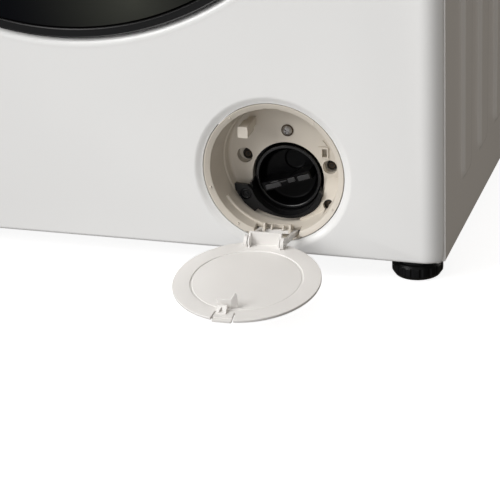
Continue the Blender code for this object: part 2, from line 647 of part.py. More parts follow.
gasket = turned([(170, 12.6), (186.3, 12.6), (186.3, 16.9), (194, 16.9), (194, 20.5), (187, 20.5), (191, 44),
                 (181, 54), (187, 71.6), (183.2, 71.6), (177, 54), (187, 43), (182, 23), (170, 18)], 28, 0, DOOR_Z)
part("door_gasket", gasket, GREY_RUBBER, "tub")

# ================================================================ the door
bezel = turned([(233.9, -2), (BEZEL_R, -2), (BEZEL_R, 11.7), (238.6, 11.7), (238.6, 6), (190, 6), (190, 3), (233.9, 3)],
               40, 0, DOOR_Z)
cut(bezel, box(-250, -226, -10, 20, DOOR_Z - 60, DOOR_Z + 60))
join(bezel, box(227.2, 233.2, -11, -1.4, DOOR_Z + 56.4, DOOR_Z + 61), box(227.2, 233.2, -11, -1.4, DOOR_Z - 61, DOOR_Z - 56.4))
part("door_bezel", bezel, BLACK, "door")

window = turned([(0, -14), (130, -10.4), (GLASS_R, -1), (GLASS_R, 2.0), (130, -7.2), (0, -10.8)],
                40, 0, DOOR_Z)
cut(window, box(-250, -224.8, -20, 10, DOOR_Z - 33, DOOR_Z + 33))
part("door_window", window, DARK_GLASS, "door")

bowl = turned([(0, 66), (141, 60), (161, 30), (168.4, 6), (186, 6), (186, 3), (165.2, 3), (157.6, 29),
               (138, 57), (0, 63)], 36, 0, DOOR_Z)
part("door_bowl", bowl, GLASS, "door")

inner = turned([(169.2, 6.4), (238.2, 6.4), (238.2, 11.7), (169.2, 11.7)], 40, 0, DOOR_Z)
cut(inner, box(-250, -226, 0, 20, DOOR_Z - 23, DOOR_Z + 23), box(207, 233, 0, 20, DOOR_Z - 14, DOOR_Z + 14))
for s in (-1, 1):
    lo, hi = sorted((DOOR_Z + s * 20.6, DOOR_Z + s * 31))
    join(inner, box(-234.6, -226.5, -4.4, 11.0, lo, hi),
         rod((HINGE_X, HINGE_Y, lo), (HINGE_X, HINGE_Y, hi), 3.5, 12))
part("door_inner_ring", inner, WHITE_PLASTIC, "door")

hinge = box(-239.6, -216, 12.9, 14.6, DOOR_Z - 28, DOOR_Z + 28)
join(hinge, box(-236.5, -233.2, -2.8, 13.4, DOOR_Z - 20, DOOR_Z + 20),
     rod((HINGE_X, HINGE_Y, DOOR_Z - 20.2), (HINGE_X, HINGE_Y, DOOR_Z + 20.2), 3.5, 12))
part("door_hinge", hinge, ZINC)

handle = plate([(232.5, -4), (232.5, -24), (230.5, -26), (197, -26), (195, -24.5), (195, -22.5), (222.5, -21), (224.5, -18), (224.5, -4)],
               DOOR_Z - 55.6, DOOR_Z + 55.6, "XY")
part("door_handle", handle, BLACK, "handle")

hook = box(210, 230, 7.4, 11.4, DOOR_Z - 9, DOOR_Z + 9)
join(hook, box(216, 221, 10, 30, DOOR_Z - 6, DOOR_Z + 6), box(209, 220, 26.5, 29.6, DOOR_Z - 5.8, DOOR_Z + 5.8))
part("door_hook", hook, ZINC, "hook")

lock = box(196.5, 240, 16.6, 34.5, DOOR_Z - 27, DOOR_Z + 27)
cut(lock, box(203, 233, 10, 32, DOOR_Z - 16, DOOR_Z + 16))
part("door_lock", lock, GREY_PLASTIC)

# ============================================================ the controls
knob = turned([(0, -24), (23, -24), (25, -22), (26, -3.6), (4, -3.6), (4, 9), (0, 9)], 28, 0, 777)
part("programme_knob", knob, WHITE_PLASTIC, "knob")
for n, bx in (("start_button", 212), ("power_button", 256)):
    b = turned([(0, -6), (10, -6), (11, -5), (11, 6.5), (0, 6.5)], 20, bx, 777)
    part(n, b, WHITE_PLASTIC, n.split("_")[0])
part("display_window", box(60.4, 169.6, -2.7, 0.4, 757.4, 796.6), DARK_GLASS)
board = box(48, 284, 10, 12, 742, 812)
join(board, box(62, 168, 1.2, 10.5, 759, 795))
part("control_board", board, BOARD_GREEN)

drawer = box(-280, -130, -1.5, 240, 745, 800)
cut(drawer,
    box(-278, -232, 2, 238, 747, 810),
    box(-230, -184, 2, 238, 747.2, 811),
    box(-182, -132, 2, 238, 747.4, 812))
join(drawer, box(-287.4, -122.6, -5, -0.8, 738.6, 817.4))
part("detergent_drawer", drawer, WHITE_PLASTIC, "drawer")

disp = box(-290, -120, 9, 300, 735, 822)
join(disp, rod((-205, 262, 704), (-205, 262, 736), 15, 16), rod((-240, 298, 775), (-240, 316, 775), 8, 12))
cut(disp, box(-285, -125, 0, 296, 740.5, 818), rod((-205, 262, 700), (-205, 262, 745), 12, 16),
    rod((-240, 290, 775), (-240, 320, 775), 5.5, 12))
part("dispenser_housing", disp, GREY_PLASTIC)

valve = box(-262, -218, 508, 559.8, 756, 796)
join(valve, rod((-240, 550, 775), (-240, 578, 775), 9.1, 16), rod((-240, 490, 775), (-240, 510, 775), 7, 12))
cut(valve, rod((-240, 560, 775), (-240, 585, 775), 6.5, 12))
part("water_inlet_valve", valve, WHITE_PLASTIC)

fill = tube(smooth_path([(-240, 316.4, 775), (-240, 345, 775), (-240, 403, 766), (-240, 460, 775), (-240, 489.6, 775)], 14), 8.5, 2)
part("fill_hose", fill, BLACK_RUBBER)

# ------------------------------------------------------------- tidying up
for ob in list(CUTTERS.objects):
    ob.hide_render = True
    ob.display_type = "WIRE"
    if ob.parent is None:
        # a tool keeps its place in the working frame
        ob.parent = MACHINE
for ob in MADE.values():
    mesh = ob.data
    if len(mesh.polygons):
        mesh.shade_smooth()
        mesh.set_sharp_from_angle(angle=math.radians(35))
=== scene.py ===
"""Looks of the front-loading washing machine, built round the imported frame.

Lengths are in millimetres in a working frame with y = 0 on the front panel's
outer face and z = 0 on the floor; W() turns them into the frame's metres.
"""

import bpy
import bmesh
import math
from mathutils import Matrix, Vector
from mathutils.geometry import delaunay_2d_cdt


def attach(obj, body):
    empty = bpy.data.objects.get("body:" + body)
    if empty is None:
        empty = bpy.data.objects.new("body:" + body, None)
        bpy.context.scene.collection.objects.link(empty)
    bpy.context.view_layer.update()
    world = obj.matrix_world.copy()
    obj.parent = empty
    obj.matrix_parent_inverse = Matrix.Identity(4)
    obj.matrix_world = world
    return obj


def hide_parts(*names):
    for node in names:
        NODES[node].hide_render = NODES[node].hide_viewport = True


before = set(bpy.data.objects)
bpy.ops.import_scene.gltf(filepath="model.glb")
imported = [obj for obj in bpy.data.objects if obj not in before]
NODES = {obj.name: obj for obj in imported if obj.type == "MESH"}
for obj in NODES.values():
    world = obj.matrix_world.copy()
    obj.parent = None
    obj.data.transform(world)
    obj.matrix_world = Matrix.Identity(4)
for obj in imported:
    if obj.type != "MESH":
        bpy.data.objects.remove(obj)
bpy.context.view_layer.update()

MM = 0.001
SY = -223.17
DOOR_Z = 427.0
RX, RZ = 165.2, 84.8
PX, PZ = RX + 1.5, RZ - 16.0      # axis of the pump and its filter
OX, OZ = RX - 0.8, RZ - 0.25      # centre of the opening in the sheet
HX, HZ = RX + 0.9, RZ - 16.7      # hole in the recess wall round the pump
HALF = 297.5
TUB_R, DRUM_R = 262.0, 245.0
FEET = {"foot_front_left": (-271.0, 30.0), "foot_front_right": (271.0, 30.0),
        "foot_rear_left": (-271.0, 530.0), "foot_rear_right": (271.0, 530.0)}
PI = math.pi


def W(p):
    return Vector((p[0] * MM, (p[1] + SY) * MM, p[2] * MM))


# ------------------------------------------------------------------ camera
def camera():
    cd = bpy.data.cameras.new("camera")
    cam = bpy.data.objects.new("camera", cd)
    bpy.context.scene.collection.objects.link(cam)
    cd.sensor_fit = "HORIZONTAL"
    cd.sensor_width = 36.0
    cd.lens = 155.16
    cd.clip_end = 50.0
    r = (Matrix.Rotation(0.3084, 3, "Z") @ Matrix.Rotation(-0.4054, 3, "X") @ Matrix.Rotation(0.0402, 3, "Y"))
    x, y, z = r.col[0], r.col[1], r.col[2]
    m = Matrix((
        (x[0], z[0], -y[0], 0.6122),
        (x[1], z[1], -y[1], -1.69157),
        (x[2], z[2], -y[2], 0.6815),
        (0, 0, 0, 1)))
    cam.matrix_world = m
    bpy.context.scene.camera = cam
    return cam


camera()

# --------------------------------------------------------------- materials
MATS = {}


class Tree:
    """A small helper round a material's node tree."""

    def __init__(self, name):
        self.m = bpy.data.materials.new(name)
        self.m.use_nodes = True
        self.t = self.m.node_tree
        self.p = self.t.nodes["Principled BSDF"]
        self.out = self.t.nodes["Material Output"]
        self.coord = self.t.nodes.new("ShaderNodeTexCoord")
        MATS[name] = self.m

    def node(self, kind, **sockets):
        n = self.t.nodes.new(kind)
        for k, v in sockets.items():
            n.inputs[k.replace("_", " ")].default_value = v
        return n

    def link(self, a, b):
        self.t.links.new(a, b)

    def noise(self, scale, detail=2.0, rough=0.5, stretch=(1, 1, 1)):
        mp = self.node("ShaderNodeMapping")
        mp.inputs["Scale"].default_value = stretch
        self.link(self.coord.outputs["Object"], mp.inputs["Vector"])
        n = self.node("ShaderNodeTexNoise", Scale=scale, Detail=detail, Roughness=rough)
        self.link(mp.outputs["Vector"], n.inputs["Vector"])
        return n.outputs["Fac"]

    def ramp(self, fac, stops):
        r = self.t.nodes.new("ShaderNodeValToRGB")
        e = r.color_ramp.elements
        while len(e) < len(stops):
            e.new(0.5)
        for el, (pos, col) in zip(e, stops):
            el.position = pos
            el.color = (*col, 1.0) if len(col) == 3 else col
        self.link(fac, r.inputs["Fac"])
        return r.outputs["Color"]

    def rng(self, fac, lo, hi, a=0.0, b=1.0):
        n = self.node("ShaderNodeMapRange")
        n.inputs["From Min"].default_value = a
        n.inputs["From Max"].default_value = b
        n.inputs["To Min"].default_value = lo
        n.inputs["To Max"].default_value = hi
        self.link(fac, n.inputs["Value"])
        return n.outputs["Result"]

    def mix(self, fac, a, b, blend="MIX"):
        n = self.t.nodes.new("ShaderNodeMix")
        n.data_type = "RGBA"
        n.blend_type = blend
        if isinstance(fac, (int, float)):
            n.inputs["Factor"].default_value = fac
        else:
            self.link(fac, n.inputs["Factor"])
        for sock, v in (("A", a), ("B", b)):
            if isinstance(v, (tuple, list)):
                n.inputs[sock].default_value = (*v, 1.0) if len(v) == 3 else v
                [s for s in n.inputs if s.name == sock and s.type == "RGBA"][0].default_value = (*v, 1.0) if len(v) == 3 else v
            else:
                self.link(v, [s for s in n.inputs if s.name == sock and s.type == "RGBA"][0])
        return [s for s in n.outputs if s.type == "RGBA"][0]

    def math(self, op, a, b=0.0):
        n = self.t.nodes.new("ShaderNodeMath")
        n.operation = op
        for i, v in enumerate((a, b)):
            if isinstance(v, (int, float)):
                n.inputs[i].default_value = v
            else:
                self.link(v, n.inputs[i])
        return n.outputs[0]

    def bump(self, height, distance, strength=1.0, normal=None):
        b = self.node("ShaderNodeBump", Strength=strength, Distance=distance)
        self.link(height, b.inputs["Height"])
        if normal is not None:
            self.link(normal, b.inputs["Normal"])
        return b.outputs["Normal"]

    def set(self, **kw):
        for k, v in kw.items():
            s = self.p.inputs[k.replace("_", " ")]
            if isinstance(v, (int, float)):
                s.default_value = v
            elif isinstance(v, (tuple, list)):
                s.default_value = (*v, 1.0) if len(v) == 3 else v
            else:
                self.link(v, s)
        return self.m


def painted(name, colour, rough=0.3, vary=0.03, coat=0.35, peel=0.00004, scale=900.0):
    """Stoved enamel on sheet: faint orange peel and a soft clear gloss."""
    t = Tree(name)
    c = colour
    lo = tuple(max(0.0, v * (1 - vary)) for v in c)
    hi = tuple(min(1.0, v * (1 + vary)) for v in c)
    col = t.ramp(t.noise(2.3, 3.0), [(0.35, lo), (0.65, hi)])
    n = t.bump(t.noise(scale, 2.0), peel, 0.35)
    return t.set(Base_Color=col, Roughness=t.rng(t.noise(14.0, 3.0), rough * 0.9, rough * 1.12),
                 Coat_Weight=coat, Coat_Roughness=0.16, Normal=n)


def plastic(name, colour, rough=0.4, vary=0.04, grain=1800.0, depth=0.00003, dust=None, spec=0.5):
    """Moulded plastic: fine spark-eroded grain, slight drift of tone."""
    t = Tree(name)
    lo = tuple(max(0.0, v * (1 - vary)) for v in colour)
    hi = tuple(min(1.0, v * (1 + vary)) for v in colour)
    col = t.ramp(t.noise(9.0, 4.0), [(0.3, lo), (0.7, hi)])
    if dust:
        speck = t.rng(t.noise(260.0, 5.0, 0.7), 0.0, 0.5, 0.56, 0.8)
        col = t.mix(speck, col, dust)
    n = t.bump(t.noise(grain, 3.0), depth, 0.5)
    return t.set(Base_Color=col, Roughness=t.rng(t.noise(30.0, 4.0), rough * 0.85, rough * 1.15),
                 Specular_IOR_Level=spec, Normal=n)


def metal(name, colour, rough=0.35, brushed=(1, 1, 1), vary=0.06, scale=220.0, depth=0.00003):
    t = Tree(name)
    lo = tuple(max(0.0, v * (1 - vary)) for v in colour)
    hi = tuple(min(1.0, v * (1 + vary)) for v in colour)
    f = t.noise(scale, 4.0, 0.6, brushed)
    col = t.ramp(f, [(0.3, lo), (0.7, hi)])
    n = t.bump(f, depth, 0.4)
    return t.set(Base_Color=col, Metallic=1.0, Roughness=t.rng(f, rough * 0.8, rough * 1.25), Normal=n)


painted("enamel", (0.80, 0.80, 0.79))
# painted shade: the side panels take a darker, warmer copy of the front's white enamel
painted("enamel_side_shaded", (0.74, 0.725, 0.70), rough=0.32, coat=0.7)
plastic("panel_plastic", (0.80, 0.80, 0.79), 0.32)
plastic("flap_plastic", (0.805, 0.787, 0.763), 0.36)
plastic("recess_plastic", (0.63, 0.58, 0.505), 0.46)
plastic("screw_brown", (0.020, 0.016, 0.012), 0.45, spec=0.4)
plastic("black_plastic", (0.006, 0.006, 0.0065), 0.34, spec=0.3)
plastic("cap_plastic", (0.0045, 0.0045, 0.0050), 0.26, spec=0.5)
# painted shade: a darker copy of the cap's black for the inside of its cup
plastic("cap_black_painted_shade", (0.0018, 0.0018, 0.0020), 0.34, spec=0.10)
# painted highlight: a lighter, glossier copy of the cap's black for the grip pads
plastic("cap_black_painted_highlight", (0.012, 0.012, 0.013), 0.34, spec=0.7)
plastic("black_satin", (0.0060, 0.0060, 0.0064), 0.38, spec=0.26)
plastic("bezel_black", (0.0060, 0.0060, 0.0062), 0.24, spec=0.20)
plastic("dial_plastic", (0.70, 0.70, 0.70), 0.28)
plastic("grey_print", (0.10, 0.10, 0.105), 0.6)
plastic("foot_rubber", (0.0030, 0.0030, 0.0033), 0.36, spec=0.16)
plastic("grey_plastic", (0.30, 0.30, 0.31), 0.5)
plastic("rubber_black", (0.02, 0.02, 0.02), 0.75, grain=700.0)
plastic("rubber_grey", (0.19, 0.19, 0.20), 0.7, grain=700.0)
plastic("board", (0.02, 0.14, 0.06), 0.45)
plastic("concrete", (0.25, 0.24, 0.225), 0.92, vary=0.16, grain=260.0, depth=0.0006)
metal("stainless", (0.62, 0.62, 0.63), 0.26, (1, 18, 1))
metal("zinc", (0.56, 0.57, 0.58), 0.36)
metal("screw_steel", (0.42, 0.41, 0.40), 0.34)
metal("dark_screw", (0.10, 0.075, 0.055), 0.45)
metal("alloy", (0.52, 0.52, 0.53), 0.5, scale=90.0, depth=0.0002)
metal("motor_paint", (0.30, 0.30, 0.31), 0.4)


def drum_steel():
    """Brushed steel with rows of small drain holes round the shell, drawn as dark spots of painted shade with a slight
    dip.
    """
    t = Tree("drum_steel")
    p = t.node("ShaderNodeSeparateXYZ")
    t.link(t.coord.outputs["Object"], p.inputs["Vector"])
    dz = t.math("SUBTRACT", p.outputs["Z"], DOOR_Z * MM)
    r = t.math("SQRT", t.math("ADD", t.math("MULTIPLY", p.outputs["X"], p.outputs["X"]), t.math("MULTIPLY", dz, dz)))
    turn = t.math("MULTIPLY", t.math("ARCTAN2", dz, p.outputs["X"]), 120 / (2 * PI))
    row = t.math("DIVIDE", p.outputs["Y"], 0.0128)
    shift = t.math("MULTIPLY", t.math("MODULO", t.math("FLOOR", t.math("ADD", row, 200.0)), 2.0), 0.5)
    u = t.math("SUBTRACT", t.math("FRACT", t.math("ADD", t.math("ADD", turn, shift), 400.0)), 0.5)
    v = t.math("SUBTRACT", t.math("FRACT", t.math("ADD", row, 200.0)), 0.5)
    d = t.math("SQRT", t.math("ADD", t.math("MULTIPLY", u, u), t.math("MULTIPLY", v, v)))
    wall = t.math("GREATER_THAN", r, (DRUM_R - 6.0) * MM)
    # the holes are dark spots in the colour with a slight dip: their dark is painted shade
    hole = t.math("MULTIPLY", t.rng(d, 1.0, 0.0, 0.14, 0.18), wall)
    f = t.noise(220.0, 4.0, 0.6, (1, 18, 1))
    col = t.mix(hole, t.ramp(f, [(0.3, (0.56, 0.56, 0.57)), (0.7, (0.66, 0.66, 0.67))]), (0.02, 0.02, 0.02))
    return t.set(Base_Color=col, Metallic=1.0, Roughness=t.rng(f, 0.27, 0.34), Normal=t.bump(t.rng(hole, 1.0, 0.0), 0.00015, 0.25))


drum_steel()
t = Tree("lit_digit")
t.set(Base_Color=t.ramp(t.noise(30.0), [(0.3, (0.55, 0.75, 0.80)), (0.7, (0.62, 0.80, 0.85))]), Roughness=0.5,
      Emission_Color=(0.55, 0.85, 0.95), Emission_Strength=0.35)


def door_glass():
    """Tinted door glass with a printed black border, and a patch of painted light low on the right."""
    t = Tree("door_glass")
    geo = t.node("ShaderNodeSeparateXYZ")
    t.link(t.coord.outputs["Object"], geo.inputs["Vector"])
    dz = t.math("SUBTRACT", geo.outputs["Z"], DOOR_Z * MM)
    r = t.math("SQRT", t.math("ADD", t.math("MULTIPLY", geo.outputs["X"], geo.outputs["X"]), t.math("MULTIPLY", dz, dz)))
    edge = t.rng(r, 0.0, 1.0, 0.176, 0.182)
    alpha = t.rng(edge, 0.80, 1.0)
    # painted light: a soft lighter olive patch low on the right, put into the glass colour
    dx = t.math("SUBTRACT", geo.outputs["X"], 0.060)
    dlow = t.math("ADD", dz, 0.205)
    far = t.math("SQRT", t.math("ADD", t.math("MULTIPLY", dx, dx), t.math("MULTIPLY", dlow, dlow)))
    painted_light_patch = t.rng(far, 0.0, 1.0, 0.115, 0.0)
    painted_light_patch = t.math("MULTIPLY", painted_light_patch, painted_light_patch)
    col = t.mix(edge, t.mix(painted_light_patch, (0.0025, 0.0030, 0.0045), (0.052, 0.054, 0.044)), t.mix(painted_light_patch, (0.0025, 0.0028, 0.004), (0.050, 0.052, 0.043)))
    n = t.bump(t.noise(3.0, 1.0), 0.0006, 0.25)
    return t.set(Base_Color=col, Roughness=t.rng(t.noise(6.0, 3.0), 0.05, 0.10), Alpha=alpha,
                 Specular_IOR_Level=0.03, Normal=n)


door_glass()
t = Tree("bowl_glass")
t.set(Base_Color=t.ramp(t.noise(4.0), [(0.3, (0.55, 0.62, 0.62)), (0.7, (0.65, 0.70, 0.70))]),
      Roughness=t.rng(t.noise(12.0, 3.0), 0.04, 0.09), Alpha=0.35, Coat_Weight=0.5, Coat_Roughness=0.03)
t = Tree("display_glass")
t.set(Base_Color=t.ramp(t.noise(5.0), [(0.3, (0.006, 0.007, 0.009)), (0.7, (0.010, 0.011, 0.013))]),
      Roughness=t.rng(t.noise(20.0, 3.0), 0.06, 0.11), Coat_Weight=0.6, Coat_Roughness=0.03)

CAD_LOOK = {
    "base_frame": "grey_plastic", "side_panel_left": "enamel_side_shaded", "side_panel_right": "enamel_side_shaded",
    "front_panel": "enamel", "control_panel": "panel_plastic", "top_cover": "panel_plastic",
    "rear_panel": "enamel", "rear_access_cover": "grey_plastic", "suspension_beam": "zinc",
    "filter_recess_housing": "recess_plastic", "drain_pump_housing": "black_plastic", "pump_motor": "motor_paint",
    "door_hinge": "zinc", "door_lock": "grey_plastic", "display_window": "display_glass", "control_board": "board",
    "dispenser_housing": "grey_plastic", "water_inlet_valve": "panel_plastic", "fill_hose": "rubber_black",
    "damper_cylinder_left": "grey_plastic", "damper_cylinder_right": "grey_plastic",
    "flap_hinge_carriage": "flap_plastic", "filter_flap": "flap_plastic", "filter_basket": "black_satin",
    "filter_cap": "black_plastic", "pump_impeller": "black_satin",
    "tub_front": "grey_plastic", "tub_rear": "grey_plastic", "bearing_front": "zinc", "bearing_rear": "zinc",
    "drive_motor": "motor_paint", "counterweight_front": "concrete", "counterweight_top": "concrete",
    "heater": "zinc", "damper_rod_left": "zinc", "damper_rod_right": "zinc",
    "suspension_spring_left": "zinc", "suspension_spring_right": "zinc", "sump_hose": "rubber_black",
    "door_gasket": "rubber_grey", "drive_belt": "rubber_black",
    "drum": "stainless", "drum_spider": "alloy", "drum_shaft": "stainless", "drum_pulley": "alloy",
    "motor_pulley": "zinc", "door_bezel": "black_plastic", "door_window": "door_glass", "door_bowl": "bowl_glass",
    "door_inner_ring": "panel_plastic", "door_handle": "black_satin", "door_hook": "zinc",
    "programme_knob": "panel_plastic", "start_button": "panel_plastic", "power_button": "panel_plastic",
    "detergent_drawer": "panel_plastic",
    "levelling_foot_front_left": "foot_rubber", "levelling_foot_front_right": "foot_rubber",
    "levelling_foot_rear_left": "foot_rubber", "levelling_foot_rear_right": "foot_rubber",
}
for n, o in NODES.items():
    o.data.materials.clear()
    o.data.materials.append(MATS[CAD_LOOK[n]])



class Shape:
    """Vertices and faces in the working frame, in millimetres."""

    def __init__(self):
        self.v, self.f = [], []

    def add(self, verts, faces, matrix=None):
        n = len(self.v)
        for p in verts:
            p = Vector(p)
            self.v.append(matrix @ p if matrix is not None else p)
        self.f += [[n + i for i in f] for f in faces]
        return self

    def lathe(self, profile, seg, cx, cz, a0=0.0, a1=360.0, axis="Y", matrix=None, loop=True, squash=None):
        """A profile of (radius, place on the axis) turned about the axis."""
        full = abs(a1 - a0) >= 359.99
        n = seg if full else seg + 1
        verts, idx = [], []
        for r, h in profile:
            row = []
            if r == 0:
                verts.append((0, h))
                row = [len(verts) - 1] * n
            else:
                for k in range(n):
                    verts.append((math.radians(a0 + (a1 - a0) * k / seg), r, h))
                    row.append(len(verts) - 1)
            idx.append(row)
        pts = []
        for q in verts:
            if len(q) == 2:
                u, w, h = 0.0, 0.0, q[1]
            else:
                u, w, h = q[1] * math.cos(q[0]), q[1] * math.sin(q[0]), q[2]
            if squash:
                w *= squash
            pts.append((cx + u, h, cz + w) if axis == "Y" else (cx + u, cz + w, h))
        faces = []
        rows = len(profile)
        for i in range(rows if loop else rows - 1):
            a, b = idx[i], idx[(i + 1) % rows]
            if loop and a[0] == a[-1] and b[0] == b[-1] and n > 1 and profile[i][0] == 0 and profile[(i + 1) % rows][0] == 0:
                continue
            for k in range(seg):
                k2 = (k + 1) % n if full else k + 1
                f = []
                for x in (a[k], a[k2], b[k2], b[k]):
                    if x not in f:
                        f.append(x)
                if len(f) > 2:
                    faces.append(f)
        if not full and loop:
            faces.append([r[0] for r in idx])
            faces.append([r[-1] for r in idx][::-1])
        return self.add(pts, faces, matrix)

    def prism(self, poly, lo, hi, plane="XZ", matrix=None):
        put = {"XZ": lambda u, v, h: (u, h, v), "XY": lambda u, v, h: (u, v, h), "YZ": lambda u, v, h: (h, u, v)}[plane]
        n = len(poly)
        verts = [put(u, v, lo) for u, v in poly] + [put(u, v, hi) for u, v in poly]
        faces = [list(range(n)), list(range(2 * n - 1, n - 1, -1))]
        faces += [[i, (i + 1) % n, n + (i + 1) % n, n + i] for i in range(n)]
        return self.add(verts, faces, matrix)

    def block(self, x0, x1, y0, y1, z0, z1, matrix=None):
        return self.prism([(x0, z0), (x1, z0), (x1, z1), (x0, z1)], y0, y1, "XZ", matrix)

    def rod(self, p0, p1, r, seg=24, r1=None, matrix=None, soft=0.0):
        a, b = Vector(p0), Vector(p1)
        q = (b - a).to_track_quat("Z", "Y").to_matrix()
        r1 = r if r1 is None else r1
        ln = (b - a).length
        rings = [(r, 0.0), (r1, ln)] if not soft else [(r - soft, 0.0), (r - soft * 0.29, soft * 0.29), (r, soft), (r1, ln - soft), (r1 - soft * 0.29, ln - soft * 0.29), (r1 - soft, ln)]
        verts, faces = [], []
        for rr, h in rings:
            for k in range(seg):
                t = 2 * PI * k / seg
                verts.append(a + q @ Vector((rr * math.cos(t), rr * math.sin(t), h)))
        m = len(rings)
        for i in range(m - 1):
            for k in range(seg):
                faces.append([i * seg + k, i * seg + (k + 1) % seg, (i + 1) * seg + (k + 1) % seg, (i + 1) * seg + k])
        faces.append(list(range(seg))[::-1])
        faces.append([(m - 1) * seg + k for k in range(seg)])
        return self.add(verts, faces, matrix)

    def tube(self, pts, r, seg=12, closed=False, matrix=None):
        pts = [Vector(p) for p in pts]
        n = len(pts)
        verts, faces = [], []
        up = None
        for i, p in enumerate(pts):
            if closed:
                d = pts[(i + 1) % n] - pts[i - 1]
            else:
                d = pts[min(i + 1, n - 1)] - pts[max(i - 1, 0)]
            d.normalize()
            if up is None:
                up = d.orthogonal().normalized()
            up = (up - d * up.dot(d)).normalized()
            side = d.cross(up)
            rr = r[i] if isinstance(r, (list, tuple)) else r
            for k in range(seg):
                t = 2 * PI * k / seg
                verts.append(p + up * (rr * math.cos(t)) + side * (rr * math.sin(t)))
        for i in range(n if closed else n - 1):
            j = (i + 1) % n
            for k in range(seg):
                faces.append([i * seg + k, i * seg + (k + 1) % seg, j * seg + (k + 1) % seg, j * seg + k])
        if not closed:
            faces.append(list(range(seg))[::-1])
            faces.append([(n - 1) * seg + k for k in range(seg)])
        return self.add(verts, faces, matrix)

    def object(self, name="tmp", weld=0.0):
        me = bpy.data.meshes.new(name)
        me.from_pydata([W(v) for v in self.v], [], self.f)
        b = bmesh.new()
        b.from_mesh(me)
        if weld:
            bmesh.ops.remove_doubles(b, verts=b.verts, dist=weld * MM)
        bmesh.ops.recalc_face_normals(b, faces=b.faces)
        b.to_mesh(me)
        b.free()
        ob = bpy.data.objects.new(name, me)
        bpy.context.scene.collection.objects.link(ob)
        return ob


def rounded(pts, n=4, loop=True):
    """A profile with its corners rounded: points are (u, v) or (u, v, radius)."""
    out = []
    m = len(pts)
    for i, p in enumerate(pts):
        r = p[2] if len(p) > 2 else 0.0
        if not r or (not loop and i in (0, m - 1)):
            out.append((p[0], p[1]))
            continue
        a, b, c = Vector(pts[i - 1][:2]), Vector(p[:2]), Vector(pts[(i + 1) % m][:2])
        d0, d1 = (a - b), (c - b)
        l0, l1 = d0.length, d1.length
        d0.normalize()
        d1.normalize()
        ang = d0.angle(d1, PI)
        t = min(r / max(math.tan(ang / 2), 1e-4), l0 * 0.49, l1 * 0.49)
        s, e = b + d0 * t, b + d1 * t
        for k in range(n + 1):
            w = k / n
            q = s * ((1 - w) ** 2) + b * (2 * w * (1 - w)) + e * (w ** 2)
            out.append((q.x, q.y))
    return out


def solidify(ob):
    """Apply the modifiers of a working object."""
    graph = bpy.context.evaluated_depsgraph_get()
    me = bpy.data.meshes.new_from_object(ob.evaluated_get(graph))
    ob.modifiers.clear()
    ob.data = me
    return ob


def carve(ob, *tools, op="DIFFERENCE", solver="EXACT"):
    """Cut tools out of ob, or add them, and throw the tools away."""
    tools = [t.object("tool") if isinstance(t, Shape) else t for t in tools]
    for t in tools:
        m = ob.modifiers.new("b", "BOOLEAN")
        m.operation = op
        m.solver = solver
        m.object = t
    solidify(ob)
    for t in tools:
        bpy.data.objects.remove(t, do_unlink=True)
    return ob


def piece(src, name, mat, body, hide=(), edge=0.0, seg=2, angle=32, sharp=34, weld=0.0):
    """Finish a piece: name, material, soft edges, body, and what it stands for."""
    ob = src.object(name, weld) if isinstance(src, Shape) else src
    ob.name = name
    ob.data.name = name
    ob.data.materials.clear()
    ob.data.materials.append(MATS[mat])
    ob.data.shade_smooth()
    if edge:
        m = ob.modifiers.new("edges", "BEVEL")
        m.width = edge * MM
        m.segments = seg
        m.limit_method = "ANGLE"
        m.angle_limit = math.radians(angle)
        m.harden_normals = True
        m.use_clamp_overlap = True
        ob.data.set_sharp_from_angle(angle=math.radians(180))
    else:
        ob.data.set_sharp_from_angle(angle=math.radians(sharp))
    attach(ob, body)
    if hide:
        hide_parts(*([hide] if isinstance(hide, str) else hide))
    return ob


def circle(cx, cz, r, n, a0=0.0, a1=360.0, close=False):
    k = n if not close else n + 1
    return [(cx + r * math.cos(math.radians(a0 + (a1 - a0) * i / n)), cz + r * math.sin(math.radians(a0 + (a1 - a0) * i / n)))
            for i in range(k)]


def arc_pts(cx, cz, r, a0, a1, n):
    return [(cx + r * math.cos(math.radians(a0 + (a1 - a0) * k / n)), cz + r * math.sin(math.radians(a0 + (a1 - a0) * k / n))) for k in range(n + 1)]


def round_rect(x0, x1, z0, z1, r, n=5):
    out = []
    for cx, cz, a in ((x1 - r, z0 + r, -90), (x1 - r, z1 - r, 0), (x0 + r, z1 - r, 90), (x0 + r, z0 + r, 180)):
        out += [(cx + r * math.cos(math.radians(a + 90 * k / n)), cz + r * math.sin(math.radians(a + 90 * k / n))) for k in range(n + 1)]
    return out


def fill(outline, holes, y, shape, plane="XZ"):
    """A flat face with holes, as triangles, at one level."""
    pts, edges = [], []
    for ring in [outline] + holes:
        n0 = len(pts)
        pts += [Vector(p) for p in ring]
        edges += [(n0 + i, n0 + (i + 1) % len(ring)) for i in range(len(ring))]
    v, _, f, _, _, _ = delaunay_2d_cdt(pts, edges, [], 1, 1e-5)

    def inside(ring, q):
        c = False
        for (x0, y0), (x1, y1) in zip(ring, ring[1:] + ring[:1]):
            if (y0 > q[1]) != (y1 > q[1]) and q[0] < (x1 - x0) * (q[1] - y0) / (y1 - y0) + x0:
                c = not c
        return c

    keep = []
    for t in f:
        q = sum((v[i] for i in t), Vector((0, 0))) / len(t)
        if inside(outline, q) and not any(inside(h, q) for h in holes):
            keep.append(list(t))
    put = {"XZ": lambda p: (p.x, y, p.y), "XY": lambda p: (p.x, p.y, y), "YZ": lambda p: (y, p.x, p.y)}[plane]
    shape.add([put(p) for p in v], keep)
    return shape


def smooth01(t):
    t = min(1.0, max(0.0, t))
    return t * t * (3 - 2 * t)


